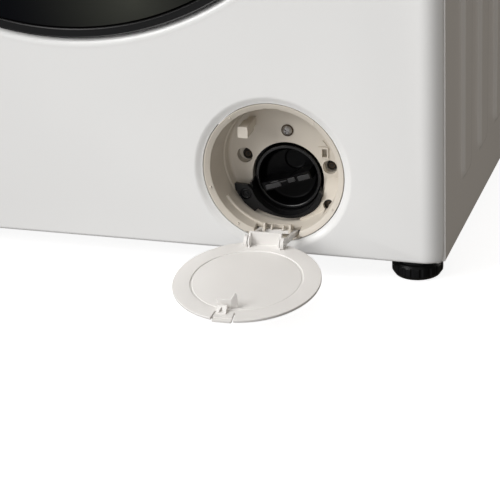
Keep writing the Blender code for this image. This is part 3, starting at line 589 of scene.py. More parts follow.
# ============================================================== front panel
def front_skin():
    s = Shape()
    flat_x, bot, top = HALF - 18.0, 22.5, 724.0
    door = circle(0, DOOR_Z, 251.0, 160)
    hole = circle(OX, OZ, 63.2, 112)
    fill([(-flat_x, bot), (flat_x, bot), (flat_x, 27.0), (flat_x, 33.0), (flat_x, top),
          (-flat_x, top), (-flat_x, 33.0), (-flat_x, 27.0)], [door, hole], 0.0, s)
    # upright edges roll back to the seams, and the hems turn in
    m = 20
    section, depth = [(flat_x, 0.0)], 0.0
    for k in range(m):
        depth += 16.5 / m * math.tan(math.radians(52.5) * ((k + 0.5) / m) ** 1.2)
        section.append((flat_x + 16.5 * (k + 1) / m, depth))
    section += [(HALF - 1.34, depth + 0.35), (HALF - 1.4, depth + 0.6), (HALF - 1.7, depth + 0.78), (HALF - 2.4, depth + 0.84), (HALF - 9.0, depth + 0.84)]
    section = [(-x, y) for x, y in reversed(section)] + section
    n = len(section)

    def inward(k):
        a, b = section[max(k - 1, 0)], section[min(k + 1, n - 1)]
        t = Vector((b[0] - a[0], b[1] - a[1])).normalized()
        return Vector((-t.y, t.x))

    def at(z, d=0.0):
        """The section at a height, its ends cut back near the floor."""
        lim = HALF - 2.7 * max(0.0, (33.0 - z) / 13.0)
        row = []
        for k, (x, y) in enumerate(section):
            nv = inward(k)
            x, y = x + nv.x * d, y + nv.y * d
            row.append((max(-lim + d, min(lim - d, x)), y, z))
        return row

    def tuck(row):
        return [(max(-285.0, min(285.0, x)), 12.0, z) for x, y, z in row]

    low = [at(22.5), at(21.2, 0.35), at(20.35, 1.2), at(20.0, 2.4)]
    low.append(tuck(low[-1]))
    high = [at(724.0), at(724.7, 0.3), at(725.0, 1.0)]
    high.append(tuck(high[-1]))
    for rows in (low, high):
        s.add([p for row in rows for p in row],
              [[i * n + k, i * n + k + 1, (i + 1) * n + k + 1, (i + 1) * n + k] for i in range(len(rows) - 1) for k in range(n - 1)])
    # the rolled strips between the two hems
    zs = (22.5, 27.0, 33.0, 724.0)
    for keep in (lambda x: x >= flat_x - 0.01, lambda x: x <= 0.01 - flat_x):
        rows = [[q for q in at(z) if keep(q[0])] for z in zs]
        w = len(rows[0])
        s.add([p for row in rows for p in row],
              [[i * w + k, i * w + k + 1, (i + 1) * w + k + 1, (i + 1) * w + k] for i in range(len(rows) - 1) for k in range(w - 1)])
    # lip and dish round the door
    lip = [(251.0, 0.0), (250.3, -0.05), (249.6, -0.15)] + [(249.0 - 6.4 * math.sin(math.radians(a)), -0.2 + 6.0 * (1 - math.cos(math.radians(a)))) for a in range(8, 89, 8)]
    lip += rounded([(242.6, 6.4), (242.6, 15.0, 3.2), (233.0, 15.0), (203.0, 15.0), (189.6, 15.0), (187.0, 15.0, 1.8), (187.0, 19.0)], 5, False)[1:]
    s.lathe(lip, 160, 0, DOOR_Z, loop=False)

    def in_slot(face):
        """The hook's slot in the dish, a quarter turn from the floor."""
        q = sum((s.v[i] for i in face), Vector()) / len(face)
        dz = q.z - DOOR_Z
        return 14.9 < q.y < 15.1 and 204 < math.hypot(q.x, dz) < 232 and abs(math.degrees(math.atan2(dz, q.x))) < 4.5

    s.f = [f for f in s.f if not in_slot(f)]
    # the sheet dips in to the filter opening
    dip = [(63.2 - 6.6 * k / 12, 2.7 * (smooth01(k / 14) / smooth01(12 / 14))) for k in range(13)]
    dip += [(56.4, 3.3), (56.4, 6.0)]
    s.lathe(dip, 112, OX, OZ, loop=False)
    ob = s.object("front_skin", 0.02)
    # every face looks outwards
    b = bmesh.new()
    b.from_mesh(ob.data)
    bmesh.ops.recalc_face_normals(b, faces=b.faces)
    b.faces.ensure_lookup_table()
    flat = max(b.faces, key=lambda f: f.calc_area())
    if flat.normal.y > 0:
        bmesh.ops.reverse_faces(b, faces=b.faces)
    b.to_mesh(ob.data)
    b.free()
    m = ob.modifiers.new("sheet", "SOLIDIFY")
    m.thickness = 0.8 * MM
    m.offset = -1
    solidify(ob)
    return piece(ob, "front_skin", "enamel", "root", "front_panel", sharp=40)


front_skin()


# ============================================================== side panels
def side_skin(sign, name, node):
    first, pitch, width, out, slope, count = 71.5, 65.2, 24.6, 2.5, 5.0, 7
    z_lo, z_hi = 62.5, 782.0
    ys = [10.8, 14, 25, 36, 44]
    for i in range(count):
        a = first + i * pitch
        ys += [a - 6, a - 5, a - 4, a - 3, a - 2, a - 1, a, a + 1.5, a + 4, a + 8, a + 12.5, a + 17, a + 21, a + 23.5,
               a + 25, a + 26, a + 27, a + 28, a + 29, a + 30, a + 31]
    ys += [500, 530, 552, 559]
    zs = [21.5, 30, 44, 52] + [54 + 1.5 * k for k in range(22)] + [95 + 45 * k for k in range(15)] + [744 + 1.5 * k for k in range(28)] + [800, 815, 828]
    zs = sorted(set(zs))

    def lift(y, z):
        best = 0.0
        for i in range(count):
            a = first + i * pitch
            cy, hw = a + width / 2, width / 2 + slope
            r = 12.0
            dx = abs(y - cy) - (hw - r)
            dz = abs(z - (z_lo + z_hi) / 2) - ((z_hi - z_lo) / 2 - r)
            d = math.hypot(max(dx, 0), max(dz, 0)) + min(max(dx, dz), 0) - r
            best = max(best, smooth01(-d / slope))
        return out * best

    n = len(ys)
    rows = []
    hem = [(0.0, 0.0), (0.0, -1.15), (0.08, -1.4), (0.3, -1.5), (2.0, -1.5), (9.0, -1.5)]
    # front hem: the sheet's front edge curls in
    cols = [(lambda z, i=i: (sign * (HALF - hem[i][0]), 10.8 + hem[i][1], z)) for i in range(len(hem) - 1, 0, -1)]
    grid = []
    for z in zs:
        line = [c(z) for c in cols]
        line += [(sign * (HALF + lift(y, z)), y, z) for y in ys]
        line += [(sign * (HALF - 0.4), 559.8, z), (sign * (HALF - 1.2), 560.0, z), (sign * (HALF - 8), 560.0, z)]
        grid.append(line)
    # bottom and top hems
    base, cap = grid[0], grid[-1]

    def turned_in(line, dz, dx):
        res = []
        for x, y, z in line:
            keep = 1.0 if abs(x) > HALF - 0.5 else 0.0
            res.append((x - sign * dx * keep, y, z + dz))
        return res

    low = [turned_in(base, -1.5, 12.0), turned_in(base, -1.5, 1.5), turned_in(base, -1.1, 0.45), turned_in(base, -0.45, 0.1)]
    high = [turned_in(cap, 0.4, 0.3), turned_in(cap, 0.9, 1.2), turned_in(cap, 0.9, 9.0)]
    grid = low + grid + high
    w = len(grid[0])
    s = Shape()
    s.add([p for row in grid for p in row],
          [[i * w + k, i * w + k + 1, (i + 1) * w + k + 1, (i + 1) * w + k] for i in range(len(grid) - 1) for k in range(w - 1)])
    ob = s.object(name)
    b = bmesh.new()
    b.from_mesh(ob.data)
    big = max(b.faces, key=lambda f: f.calc_area())
    if big.normal.x * sign < 0:
        bmesh.ops.reverse_faces(b, faces=b.faces)
    b.to_mesh(ob.data)
    b.free()
    m = ob.modifiers.new("sheet", "SOLIDIFY")
    m.thickness = 0.8 * MM
    m.offset = -1
    solidify(ob)
    return piece(ob, name, "enamel_side_shaded", "root", node, sharp=50)


side_skin(-1, "side_skin_left", "side_panel_left")
side_skin(1, "side_skin_right", "side_panel_right")


# =========================================================== filter recess
def recess():
    prof = rounded([(55.9, 2.6, 0.5), (55.9, 6.2), (53.4, 6.6), (49.5, 41.0), (0, 41.0), (0, 38.0), (47.0, 38.0, 2.2),
                    (47.7, 29.6, 0.5), (48.6, 28.6, 0.5), (51.1, 4.9, 0.8)], 4)
    s = Shape()
    rings = []
    for r, y in prof:
        # the rim follows the sheet's opening, the back wall the recess
        w = smooth01((y - 2.0) / 30.0)
        cx, cz = OX + (RX - OX) * w, OZ + (RZ - OZ) * w
        rings.append([(cx + r * math.cos(2 * PI * k / 128), y, cz + r * math.sin(2 * PI * k / 128)) for k in range(128)] if r else [(RX, y, RZ)])
    verts, start = [], []
    for ring in rings:
        start.append(len(verts))
        verts += ring
    faces = []
    for i in range(len(rings)):
        j = (i + 1) % len(rings)
        a, b = rings[i], rings[j]
        if len(a) == 1 and len(b) == 1:
            continue
        for k in range(128):
            k2 = (k + 1) % 128
            f = []
            for st, ring in ((start[i], a), (start[j], b)):
                q = [st + (k if len(ring) > 1 else 0), st + (k2 if len(ring) > 1 else 0)]
                f += q if not f else q[::-1]
            f = [x for n, x in enumerate(f) if x not in f[:n]]
            if len(f) > 2:
                faces.append(f)
    s.add(verts, faces)
    ob = s.object("recess")
    carve(ob,
          Shape().rod((HX, 30, HZ), (HX, 60, HZ), 29.1, 80),
          Shape().prism([(RX - 18.4, 33.0), (RX - 13.8, 33.0), (RX - 13.8, 30.6), (RX + 13.8, 30.6), (RX + 13.8, 33.0), (RX + 18.4, 33.0), (RX + 18.4, 39.6), (RX - 18.4, 39.6)], -2, 13.6, "XZ"),
          Shape().block(RX - 7.4, RX + 4.7, 5.2, 10.0, RZ + 46, RZ + 53.6),
          Shape().rod((RX - 33.9, 30, RZ - 0.7), (RX - 33.9, 43, RZ - 0.7), 6.3, 40),
          Shape().rod((RX + 34.8, 30, RZ - 5.9), (RX + 34.8, 43, RZ - 5.9), 5.7, 40))
    return ob


def swing():
    pr = (-76.2 + 50.0 * math.sin(math.radians(97.6)) + 4.6 * math.cos(math.radians(97.6)),
          28.8 - 50.0 * math.cos(math.radians(97.6)) + 4.6 * math.sin(math.radians(97.6)))
    return (Matrix.Translation((0, pr[0], pr[1])) @ Matrix.Rotation(math.radians(97.6), 4, "X")
            @ Matrix.Translation((0, -5.8, -34.8))), pr


SWING, PIN = swing()


# ------------------------------------------------- recess: shell and fittings
def fine_screw(shape, x, y, z, r, depth=1.6, head="pan", turn=20.0, out=-1):
    """A small cross-head screw facing -Y: the head stands from y outwards."""
    o = Shape()
    if head == "pan":
        prof = rounded([(0, y - depth), (r * 0.55, y - depth), (r, y - depth * 0.45, r * 0.35), (r, y), (0, y)], 4)
    else:
        prof = rounded([(0, y - depth), (r, y - depth, 0.3), (r, y), (0, y)], 3)
    o.lathe(prof, 40, x, z)
    ob = o.object("screw")
    tools = []
    for k in range(2):
        a = math.radians(turn + 90 * k)
        m = Matrix.Translation((x, 0, z)) @ Matrix.Rotation(a, 4, "Y") @ Matrix.Translation((-x, 0, -z))
        tools.append(Shape().prism([(x - r * 0.58, z - r * 0.13), (x + r * 0.58, z - r * 0.13), (x + r * 0.58, z + r * 0.13), (x - r * 0.58, z + r * 0.13)],
                                   y - depth - 0.2, y - depth * 0.25, "XZ", m))
    carve(ob, *tools)
    return ob


def recess_parts():
    shell = recess()
    # catch peg standing from the back wall on a narrower stem
    peg = Shape().prism(rounded([(RX - 30.4, RZ + 23.8, 0.8), (RX - 22.4, RZ + 23.8, 0.8), (RX - 22.4, RZ + 32.8, 0.8), (RX - 30.4, RZ + 32.8, 0.8)], 3), 10.6, 26.8)
    stem = Shape().prism(rounded([(RX - 29.6, RZ + 24.6, 0.8), (RX - 23.8, RZ + 24.6, 0.8), (RX - 23.8, RZ + 31.8, 0.8), (RX - 29.6, RZ + 31.8, 0.8)], 3), 26.6, 38.6)
    carve(shell, peg, stem, op="UNION")
    arrow = Shape().prism([(RX + 26.6, RZ + 11.4), (RX + 33.3, RZ + 11.6), (RX + 29.7, RZ + 16.2)], 37.1, 38.4)
    frame_ = Shape().prism(round_rect(RX + 25.6, RX + 34.0, RZ + 1.2, RZ + 10.6, 0.6), 36.9, 38.5)
    carve(shell, arrow, frame_, op="UNION")
    # low right the wall comes forward to a land beside the drip lip, and a
    # screw sits in it at the end of a groove that fades towards the front
    land = Shape().prism([(38.6, RZ - 14.2), (38.6, RZ - 50.0), (25.4, RZ - 50.0), (25.4, RZ - 31.0), (27.0, RZ - 28.6), (36.6, RZ - 15.6), (38.0, RZ - 14.4)], RX + 8.0, RX + 50.0, "YZ").object("land")
    rim_ = [(RX + u, RZ + v) for u, v in ((12.9, -45.0), (16.9, -43.3), (21.1, -40.8), (25.1, -37.8), (28.5, -33.9), (30.2, -30.8), (31.5, -26.5), (31.9, -21.0), (32.4, -15.0), (32.6, -8.0))]
    ring_ = arc_pts(RX, RZ, 49.6, -9.6, -74.6, 24)
    carve(land, Shape().prism(rim_ + ring_, 20, 45), op="INTERSECT")
    carve(shell, land, op="UNION")
    seat = circle(RX + 36.2, RZ - 32.6, 5.6, 36)
    seat = [q if math.hypot(q[0] - RX, q[1] - RZ) > 50.0 else (RX + (q[0] - RX) * 50.0 / math.hypot(q[0] - RX, q[1] - RZ), RZ + (q[1] - RZ) * 50.0 / math.hypot(q[0] - RX, q[1] - RZ))
            for q in seat if math.hypot(q[0] - RX, q[1] - RZ) > 46.5]
    carve(shell, Shape().prism(sorted(seat, key=lambda q: math.atan2(q[1] - RZ + 33.6, q[0] - RX - 37.4)), 13, 31.5), op="UNION")
    carve(shell,
          Shape().prism(round_rect(RX + 29.0, RX + 32.9, RZ + 2.2, RZ + 9.0, 0.4), 30, 43),
          Shape().rod((RX + 36.3, 24.4, RZ - 32.6), (RX + 36.3, 30.0, RZ - 32.6), 4.2, 40),
          Shape().rod((RX + 35.0, 14.4, RZ - 35.8), (RX + 36.3, 24.6, RZ - 32.6), 0.4, 32, 4.19),
          # two narrow slots in the rim beside the hinge
          Shape().block(OX - 26.2, OX - 21.6, 1, 5.2, OZ - 51.2, OZ - 50.2),
          Shape().block(OX + 17.2, OX + 22.2, 1, 5.2, OZ - 52.0, OZ - 50.9),
          # the rim is notched at the top, over the latch
          Shape().prism([(OX - 6.8, OZ + 48.0), (OX + 5.6, OZ + 48.0), (OX + 5.6, OZ + 51.9), (OX - 6.8, OZ + 51.5)], 1, 9.5))
    # ledges low on the left wall, where the moulding steps out
    ledge = Shape().lathe(rounded([(51.0, 14.0), (49.0, 14.3, 0.3), (48.75, 17.6, 0.3), (50.4, 18.0)], 3), 40, RX, RZ, 212, 262)
    carve(shell, ledge, op="UNION")
    bore = Shape().lathe(rounded([(29.1, 38.2), (30.7, 40.4), (30.7, 45.4), (29.1, 45.4)], 1), 96, HX, HZ)
    carve(shell, bore, op="UNION")
    piece(shell, "recess_shell", "recess_plastic", "root", "filter_recess_housing", edge=0.28, seg=2, angle=38)
    # nubs on the rim
    nubs = Shape()
    for a in (128, 52, 197, 330, 236):
        x, z = OX + 53.4 * math.cos(math.radians(a)), OZ + 53.4 * math.sin(math.radians(a))
        nubs.lathe(rounded([(0, 3.0), (0.75, 3.1, 0.3), (0.95, 4.6), (0, 4.6)], 3), 14, x, z)
    # two ears that the hinge swings between, on the recess floor
    for x0, x1 in ((-11.0, -9.2), (9.6, 11.4)):
        nubs.prism([(3.2, RZ - 49.6), (14.5, RZ - 49.0), (12.0, RZ - 46.2), (7.4, RZ - 43.4), (5.8, RZ - 43.6)], RX + x0, RX + x1, "YZ")
    nubs.prism([(6.0, RZ - 48.8), (12.0, RZ - 48.4), (10.0, RZ - 45.6), (7.6, RZ - 45.6)], RX - 5.4, RX - 4.0, "YZ")
    nubs.prism([(6.0, RZ - 48.8), (12.0, RZ - 48.4), (10.0, RZ - 45.6), (7.6, RZ - 45.6)], RX + 3.9, RX + 5.3, "YZ")
    nubs.block(RX - 9.4, RX + 9.8, 12.6, 14.4, RZ - 49.8, RZ - 46.2)
    # walls of the bay that the hinge folds into
    nubs.block(RX - 14.8, RX + 14.8, 6.3, 15.0, 28.7, 30.2)
    for sgn in (-1, 1):
        lo, hi = sorted((RX + sgn * 14.9, RX + sgn * 19.6))
        nubs.block(lo, hi, 6.3, 15.0, 31.0, 32.5)
        lo, hi = sorted((RX + sgn * 18.7, RX + sgn * 19.7))
        nubs.block(lo, hi, 6.3, 15.0, 32.6, 37.0)
    nubs.block(RX - 12.3, RX + 12.3, 14.0, 15.2, 30.3, 35.4)
    piece(nubs, "recess_ears", "recess_plastic", "root", edge=0.2)
    # screws
    piece(fine_screw(None, RX + 1.4, 37.8, RZ + 22.4, 4.0, 2.2, "pan", 30), "recess_screw_top", "screw_steel", "root", edge=0.12)
    ring = Shape().lathe(rounded([(3.9, 36.8, 0.4), (4.8, 37.0, 0.4), (4.8, 38.4), (3.9, 38.4)], 3), 36, RX + 1.4, RZ + 22.4)
    piece(ring, "recess_screw_top_washer", "dark_screw", "root")
    # wells with their screws: a collar outside the wall, a floor and a pan head
    for x, z, r, n, sr, dx in ((-33.9, -0.7, 6.3, "left", 4.3, 1.3), (34.8, -5.9, 5.7, "right", 4.2, 0.6)):
        w = Shape().lathe(rounded([(r + 0.05, 40.9), (r + 1.2, 41.1), (r + 1.2, 46.2), (0, 46.2), (0, 45.0), (r + 0.05, 45.0, 0.5)], 3), 40, RX + x, RZ + z)
        piece(w, "recess_well_" + n, "recess_plastic", "root")
        sc = Shape().lathe(rounded([(0, 42.2), (1.3, 42.2, 0.2), (1.6, 43.3, 0.2), (sr * 0.62, 43.3, 0.2), (sr * 0.8, 42.1, 0.4), (sr, 42.6, 0.4), (sr, 45.0), (0, 45.0)], 3), 40, RX + x + dx, RZ + z - dx * 0.35)
        piece(sc, "recess_well_screw_" + n, "screw_brown", "root")
        eye = Shape().lathe(rounded([(1.5, 42.3, 0.3), (2.3, 42.3, 0.3), (2.3, 43.4), (1.5, 43.4)], 3), 32, RX + x + dx, RZ + z - dx * 0.35)
        piece(eye, "recess_well_eye_" + n, "dark_screw", "root")
    sc = Shape().lathe(rounded([(0, 27.4), (1.2, 27.4, 0.2), (1.5, 28.4, 0.2), (2.5, 28.4, 0.2), (3.1, 27.2, 0.4), (3.9, 27.7, 0.4), (3.9, 29.9), (0, 29.9)], 3), 40, RX + 36.2, RZ - 32.6)
    piece(sc, "recess_tear_screw", "screw_brown", "root")
    eye = Shape().lathe(rounded([(1.5, 27.5, 0.3), (2.2, 27.5, 0.3), (2.2, 28.5), (1.5, 28.5)], 3), 32, RX + 36.2, RZ - 32.6)
    piece(eye, "recess_tear_eye", "dark_screw", "root")
    # pocket behind the window slot
    w = Shape().block(RX + 27.8, RX + 34.2, 43.0, 44.2, RZ + 1.2, RZ + 10.0)
    w.block(RX + 27.8, RX + 28.8, 41.0, 43.1, RZ + 1.2, RZ + 10.0)
    w.block(RX + 33.1, RX + 34.2, 41.0, 43.1, RZ + 1.2, RZ + 10.0)
    w.block(RX + 28.7, RX + 33.2, 41.0, 43.1, RZ + 1.2, RZ + 2.1)
    w.block(RX + 28.7, RX + 33.2, 41.0, 43.1, RZ + 9.1, RZ + 10.0)
    piece(w, "recess_window_floor", "recess_plastic", "root", edge=0.12)


recess_parts()


# ---------------------------------------------------- pump mouth, cap, filter
def pump_mouth():
    # body: mouth ring, barrel, mounting flange, wheel chamber and two spigots
    prof = rounded([(27.1, 43.8, 0.5), (28.3, 43.6, 0.6), (28.3, 46.0), (32.8, 46.0, 0.5), (32.8, 48.6, 0.5), (28.4, 48.6, 0.6),
                    (28.4, 108.0, 0.8), (30.0, 109.5, 0.8), (30.0, 118.0, 0.8), (28.4, 119.5, 0.8), (28.4, 131.1, 0.6), (3.0, 131.1), (3.0, 128.0),
                    (22.0, 128.0, 1.0), (22.0, 110.0, 1.0), (17.0, 110.0), (17.0, 104.0, 0.6), (24.0, 104.0, 1.0), (24.0, 52.3, 0.4), (27.1, 52.0, 0.4)], 3)
    ob = Shape().lathe(prof, 96, PX, PZ).object("pump")
    side_ = Shape().rod((PX - 20, 90, PZ), (117.9, 90, PZ), 12, 40).object("spigot")
    up = Shape().rod((PX, 120, PZ + 20), (PX, 120, 127.9), 9, 36).object("outlet")
    carve(ob, side_, up, op="UNION")
    carve(ob, Shape().rod((PX - 22.5, 90, PZ), (110, 90, PZ), 9.4, 32), Shape().rod((PX, 120, PZ + 15), (PX, 120, 135), 6.6, 28))
    # drip lip: a shallow trough below the cap, its steps showing as two lines
    edge_ = [(-22.0, -38.2), (-19.4, -40.2), (-15.6, -41.9), (-10.8, -43.4), (-6.0, -44.6), (-1.2, -45.4), (3.6, -45.7), (8.4, -45.3), (12.5, -44.3),
             (16.5, -42.6), (20.6, -40.2), (24.6, -37.2), (27.9, -33.4), (29.6, -30.4), (30.9, -26.3), (31.2, -23.0)]
    for y0, y1, shift, cx, cr in ((24.2, 28.0, 0.0, 2.3, 27.5), (27.9, 33.4, -1.7, 2.0, 27.9), (33.3, 45.0, -2.9, 1.5, 27.1)):
        outer = []
        for u, v in edge_:
            u += shift
            d = math.hypot(u, v)
            lim = 46.3 if y1 > 40 else 46.6
            outer.append((RX + u * min(1.0, lim / d), RZ + v * min(1.0, lim / d)))
        a0 = math.degrees(math.atan2(outer[-1][1] + 1.0 - PZ, outer[-1][0] - (RX + cx)))
        a1 = math.degrees(math.atan2(outer[0][1] + 1.0 - PZ, outer[0][0] - (RX + cx)))
        a1 = a1 if a1 < a0 else a1 - 360
        inner = arc_pts(RX + cx, PZ, cr, a0, a1, 48)
        carve(ob, Shape().prism(outer + inner, y0, y1).object("trough"), op="UNION")
    collar = Shape().lathe([(27.5, 27.6), (28.9, 27.6), (28.9, 45.6), (27.5, 45.6)], 40, PX, PZ, 186, 240).object("collar")
    carve(ob, collar, op="UNION")
    piece(ob, "pump_mouth", "black_satin", "root", "drain_pump_housing", edge=0.3, seg=2, angle=38)
    # ear with its screw, left of the mouth
    rim_ = arc_pts(PX, PZ, 27.6, 197, 236, 12)
    ear = rounded([(RX - 39.2, RZ - 19.6, 0.8), (RX - 28.6, RZ - 20.4)] + rim_ + [(RX - 15.4, RZ - 41.0), (RX - 20.2, RZ - 39.4), (RX - 23.6, RZ - 42.2, 0.8),
                   (RX - 31.6, RZ - 35.6, 2.0), (RX - 38.6, RZ - 25.4, 1.2)], 4)
    ob = Shape().prism(ear, 24.6, 27.6).object("ear")
    carve(ob, Shape().rod((RX - 30.2, 20.0, RZ - 28.0), (RX - 30.2, 26.6, RZ - 28.0), 4.6, 40))
    web = Shape().prism([(RX - 36.6, RZ - 24.6), (RX - 30.6, RZ - 24.6), (RX - 27.6, RZ - 32.0), (RX - 22.4, RZ - 38.6), (RX - 30.4, RZ - 34.6)], 27.5, 37.8).object("web")
    carve(ob, web, op="UNION")
    piece(ob, "pump_ear", "black_satin", "root", edge=0.3, seg=2, angle=38)
    sc = Shape().lathe(rounded([(0, 25.3), (1.2, 25.3, 0.2), (1.5, 26.3, 0.2), (2.4, 26.3, 0.2), (3.2, 25.2, 0.5), (4.1, 25.8, 0.4), (4.1, 26.5), (0, 26.5)], 3), 40, RX - 30.0, RZ - 28.2)
    piece(sc, "pump_ear_screw", "black_plastic", "root")


pump_mouth()


def cap():
    prof = rounded([(0, 45.2), (20.6, 45.2, 2.2), (23.2, 38.4, 0.6), (23.6, 37.2), (26.3, 37.2), (26.35, 51.0, 0.4), (0, 51.0)], 4)
    ob = Shape().lathe(prof, 128, PX, PZ).object("cap")
    turn = Matrix.Translation((PX, 0, PZ)) @ Matrix.Rotation(math.radians(-19), 4, "Y") @ Matrix.Translation((-PX, 0, -PZ))
    # grip bar across the cup, waisted in the middle, with raised pads
    pts = []
    for k in range(33):
        u = -19.6 + 40.6 * k / 32
        pts.append((PX + u, PZ + 1.7 + 1.1 * smooth01((abs(u - 1.0) - 2.5) / 9)))
    poly = pts + [(x, 2 * PZ - 1.6 - z) for x, z in reversed(pts)]
    carve(ob, Shape().prism(poly, 28.8, 46.0, "XZ", turn), op="UNION")
    # a shallow dish beside the bar on its upper side
    carve(ob, Shape().lathe(rounded([(0, 40.0), (9.6, 40.0), (8.4, 47.2, 1.2), (0, 47.2)], 3), 48, PX + 3.6, PZ + 12.6))
    ring = rounded([(23.65, 37.3), (23.7, 36.5, 0.35), (24.3, 36.0, 0.4), (25.9, 36.0, 0.5), (26.35, 36.7, 0.3), (26.35, 37.3)], 4)
    piece(Shape().lathe(ring, 128, PX, PZ), "cap_ring", "cap_plastic", "cap", sharp=50)
    # the pads take the lighter, glossier copy of the cap's black: painted highlight
    pads = Shape()
    for u0, u1, v0, v1, y0 in ((-17.4, -4.6, -3.1, 0.5, 27.7), (1.8, 7.8, -2.3, 1.1, 27.9), (10.2, 20.2, -3.0, 0.8, 27.8), (-12.5, -6.0, 1.0, 1.8, 28.4), (-5.4, 0.6, -0.5, 0.3, 28.4)):
        pads.prism(round_rect(PX + u0, PX + u1, PZ + v0, PZ + v1, min(0.6, (v1 - v0) * 0.4)), y0, 28.95, "XZ", turn)
    piece(pads, "cap_pads", "cap_black_painted_highlight", "cap", edge=0.2, angle=50)
    # the cup takes the darker copy of the cap's black: painted shade
    piece(ob, "cap", "cap_black_painted_shade", "cap", "filter_cap", edge=0.3, seg=2, angle=38)


cap()


# ------------------------------------------------------------ flap and hinge
def flap():
    """Drawn shut, in the opening's plane, then swung open."""
    cx, cz = RX, RZ
    t = 2.4
    prof = rounded([(0, 0), (55.8, 0, 0.9), (55.8, 2.4, 0.5), (42.6, 2.4, 0.15), (42.3, 1.75, 0.25), (41.0, 1.7, 0.25), (40.6, 2.05, 0.3), (0, 2.05)], 4)
    ob = Shape().lathe(prof, 144, cx, cz).object("flap")
    slots = Shape()
    slots.prism([(cx - 11.0, cz + 45.2), (cx - 9.6, cz + 45.2), (cx - 10.6, cz + 60), (cx - 12.0, cz + 60)], -2, 6)
    slots.prism([(cx + 3.7, cz + 45.2), (cx + 5.0, cz + 45.2), (cx + 6.3, cz + 60), (cx + 5.0, cz + 60)], -2, 6)
    carve(ob, slots)
    tab = Shape()
    tab.prism(rounded([(cx - 9.2, cz + 46.0), (cx + 3.3, cz + 46.0), (cx + 4.6, cz + 56.6, 0.4), (cx - 10.0, cz + 57.0, 0.4)], 3), 0.2, 1.6)
    carve(ob, tab, op="UNION")
    step = Shape().prism([(cx - 9.9, cz + 53.2), (cx + 4.9, cz + 52.8), (cx + 6, cz + 60), (cx - 11, cz + 60)], 1.7, 4)
    carve(ob, step)
    fit = Shape()
    # latch: upright plate, side blade and a wedge hook
    fit.prism([(cx - 10.8, 2.0), (cx + 0.6, 2.0), (cx + 0.6, 9.6), (cx - 10.8, 9.4)], 38.4, 40.0, "XY", Matrix.Translation((0, 0, cz)))
    blade = [(0.0, 1.8), (4.4, 1.8), (4.4, 12.4), (3.5, 15.4), (0.0, 9.8)]
    m = len(blade)
    da, db = 0.885, -0.466
    for back in (0.0, 1.3):
        fit.v += [Vector((cx + 0.75 + da * u + db * back, h, cz + 40.0 + db * u - da * back)) for u, h in blade]
    n0 = len(fit.v) - 2 * m
    fit.f += [[n0 + i for i in range(m)], [n0 + 2 * m - 1 - i for i in range(m)]] + [[n0 + i, n0 + (i + 1) % m, n0 + m + (i + 1) % m, n0 + m + i] for i in range(m)]
    wedge = Shape()
    wedge.add([(cx - 8.8, 1.8, cz + 48.8), (cx - 1.2, 1.8, cz + 48.8), (cx - 1.2, 1.8, cz + 42.4), (cx - 8.8, 1.8, cz + 42.4),
               (cx - 8.6, 3.4, cz + 48.8), (cx - 1.4, 3.4, cz + 48.8), (cx - 1.4, 7.2, cz + 44.6), (cx - 8.6, 7.2, cz + 44.6),
               (cx - 1.4, 7.0, cz + 42.4), (cx - 8.6, 7.0, cz + 42.4)],
              [[3, 2, 1, 0], [0, 1, 5, 4], [4, 5, 6, 7], [7, 6, 8, 9], [9, 8, 2, 3], [0, 4, 7, 9, 3], [1, 2, 8, 6, 5]])
    wd = wedge.object("wedge")
    carve(wd, Shape().prism([(cx - 6.9, 3.4), (cx - 3.4, 3.4), (cx - 5.3, 6.6)], cz + 45.0, cz + 52.0, "XY"))
    parts = [ob, fit.object("fit"), wd]
    # hinge: upright plate with two gussets and rounded cheeks
    h = Shape()
    h.prism([(cx - 11.6, 1.9), (cx + 12.6, 1.9), (cx + 12.6, 13.0), (cx - 11.6, 12.6)], 0, 1.6, "XY", Matrix.Translation((0, 0, cz - 53.6)))
    for x0, x1 in ((-12.4, -11.0), (11.9, 13.3)):
        h.prism([(2.0, cz - 53.4), (13.0, cz - 53.4), (12.2, cz - 51.0), (2.0, cz - 44.8)], cx + x0, cx + x1, "YZ")
    for x0, x1 in ((-12.6, -11.2), (11.2, 12.6)):
        h.rod((cx + x0, 5.8, cz - 50.0), (cx + x1, 5.8, cz - 50.0), 4.4, 28)
    h.rod((cx - 15.9, 5.8, cz - 50.0), (cx - 11.4, 5.8, cz - 50.0), 1.3, 16)
    h.rod((cx + 11.4, 5.8, cz - 50.0), (cx + 15.9, 5.8, cz - 50.0), 1.3, 16)
    parts.append(h.object("hinge"))
    names = (("flap_disc", 0.16, "filter_flap"), ("flap_latch", 0.22, ()), ("flap_hook", 0.18, ()), ("flap_hinge", 0.25, ()))
    for o, (n, e, hide) in zip(parts, names):
        o.data.transform(Matrix.Translation(W((0, 0, 0))) @ Matrix.Scale(MM, 4) @ SWING @ Matrix.Scale(1 / MM, 4) @ Matrix.Translation(-W((0, 0, 0))))
        piece(o, n, "flap_plastic", "flap", hide, edge=e, seg=2, angle=35)


flap()


def carriage():
    d = Vector((0.98798, -0.15465))
    ry, rz = PIN

    def along(t, off=0.0):
        return (ry + d.x * t - d.y * off, rz + d.y * t + d.x * off)

    s = Shape()
    for x0, x1 in ((RX - 15.6, RX - 13.2), (RX + 13.2, RX + 15.6)):
        poly = [along(-4.7 * math.cos(math.radians(a)), -4.7 * math.sin(math.radians(a))) for a in range(-100, 101, 10)]
        poly += [along(6.0, -2.2), along(38.6, -1.4), along(38.6, 1.4), along(6.0, 2.2)]
        s.prism(poly, x0, x1, "YZ")
    ob = s.object("prongs")
    carve(ob, Shape().prism([along(34.2, 1.2), along(38.4, 1.2), along(38.4, -1.2), along(34.2, -1.2)], RX - 14, RX + 14, "YZ"), op="UNION")
    carve(ob, Shape().rod((RX - 20, ry, rz), (RX + 20, ry, rz), 1.75, 20))
    piece(ob, "hinge_carriage", "flap_plastic", "flap_carriage", "flap_hinge_carriage", edge=0.3, angle=35)


carriage()


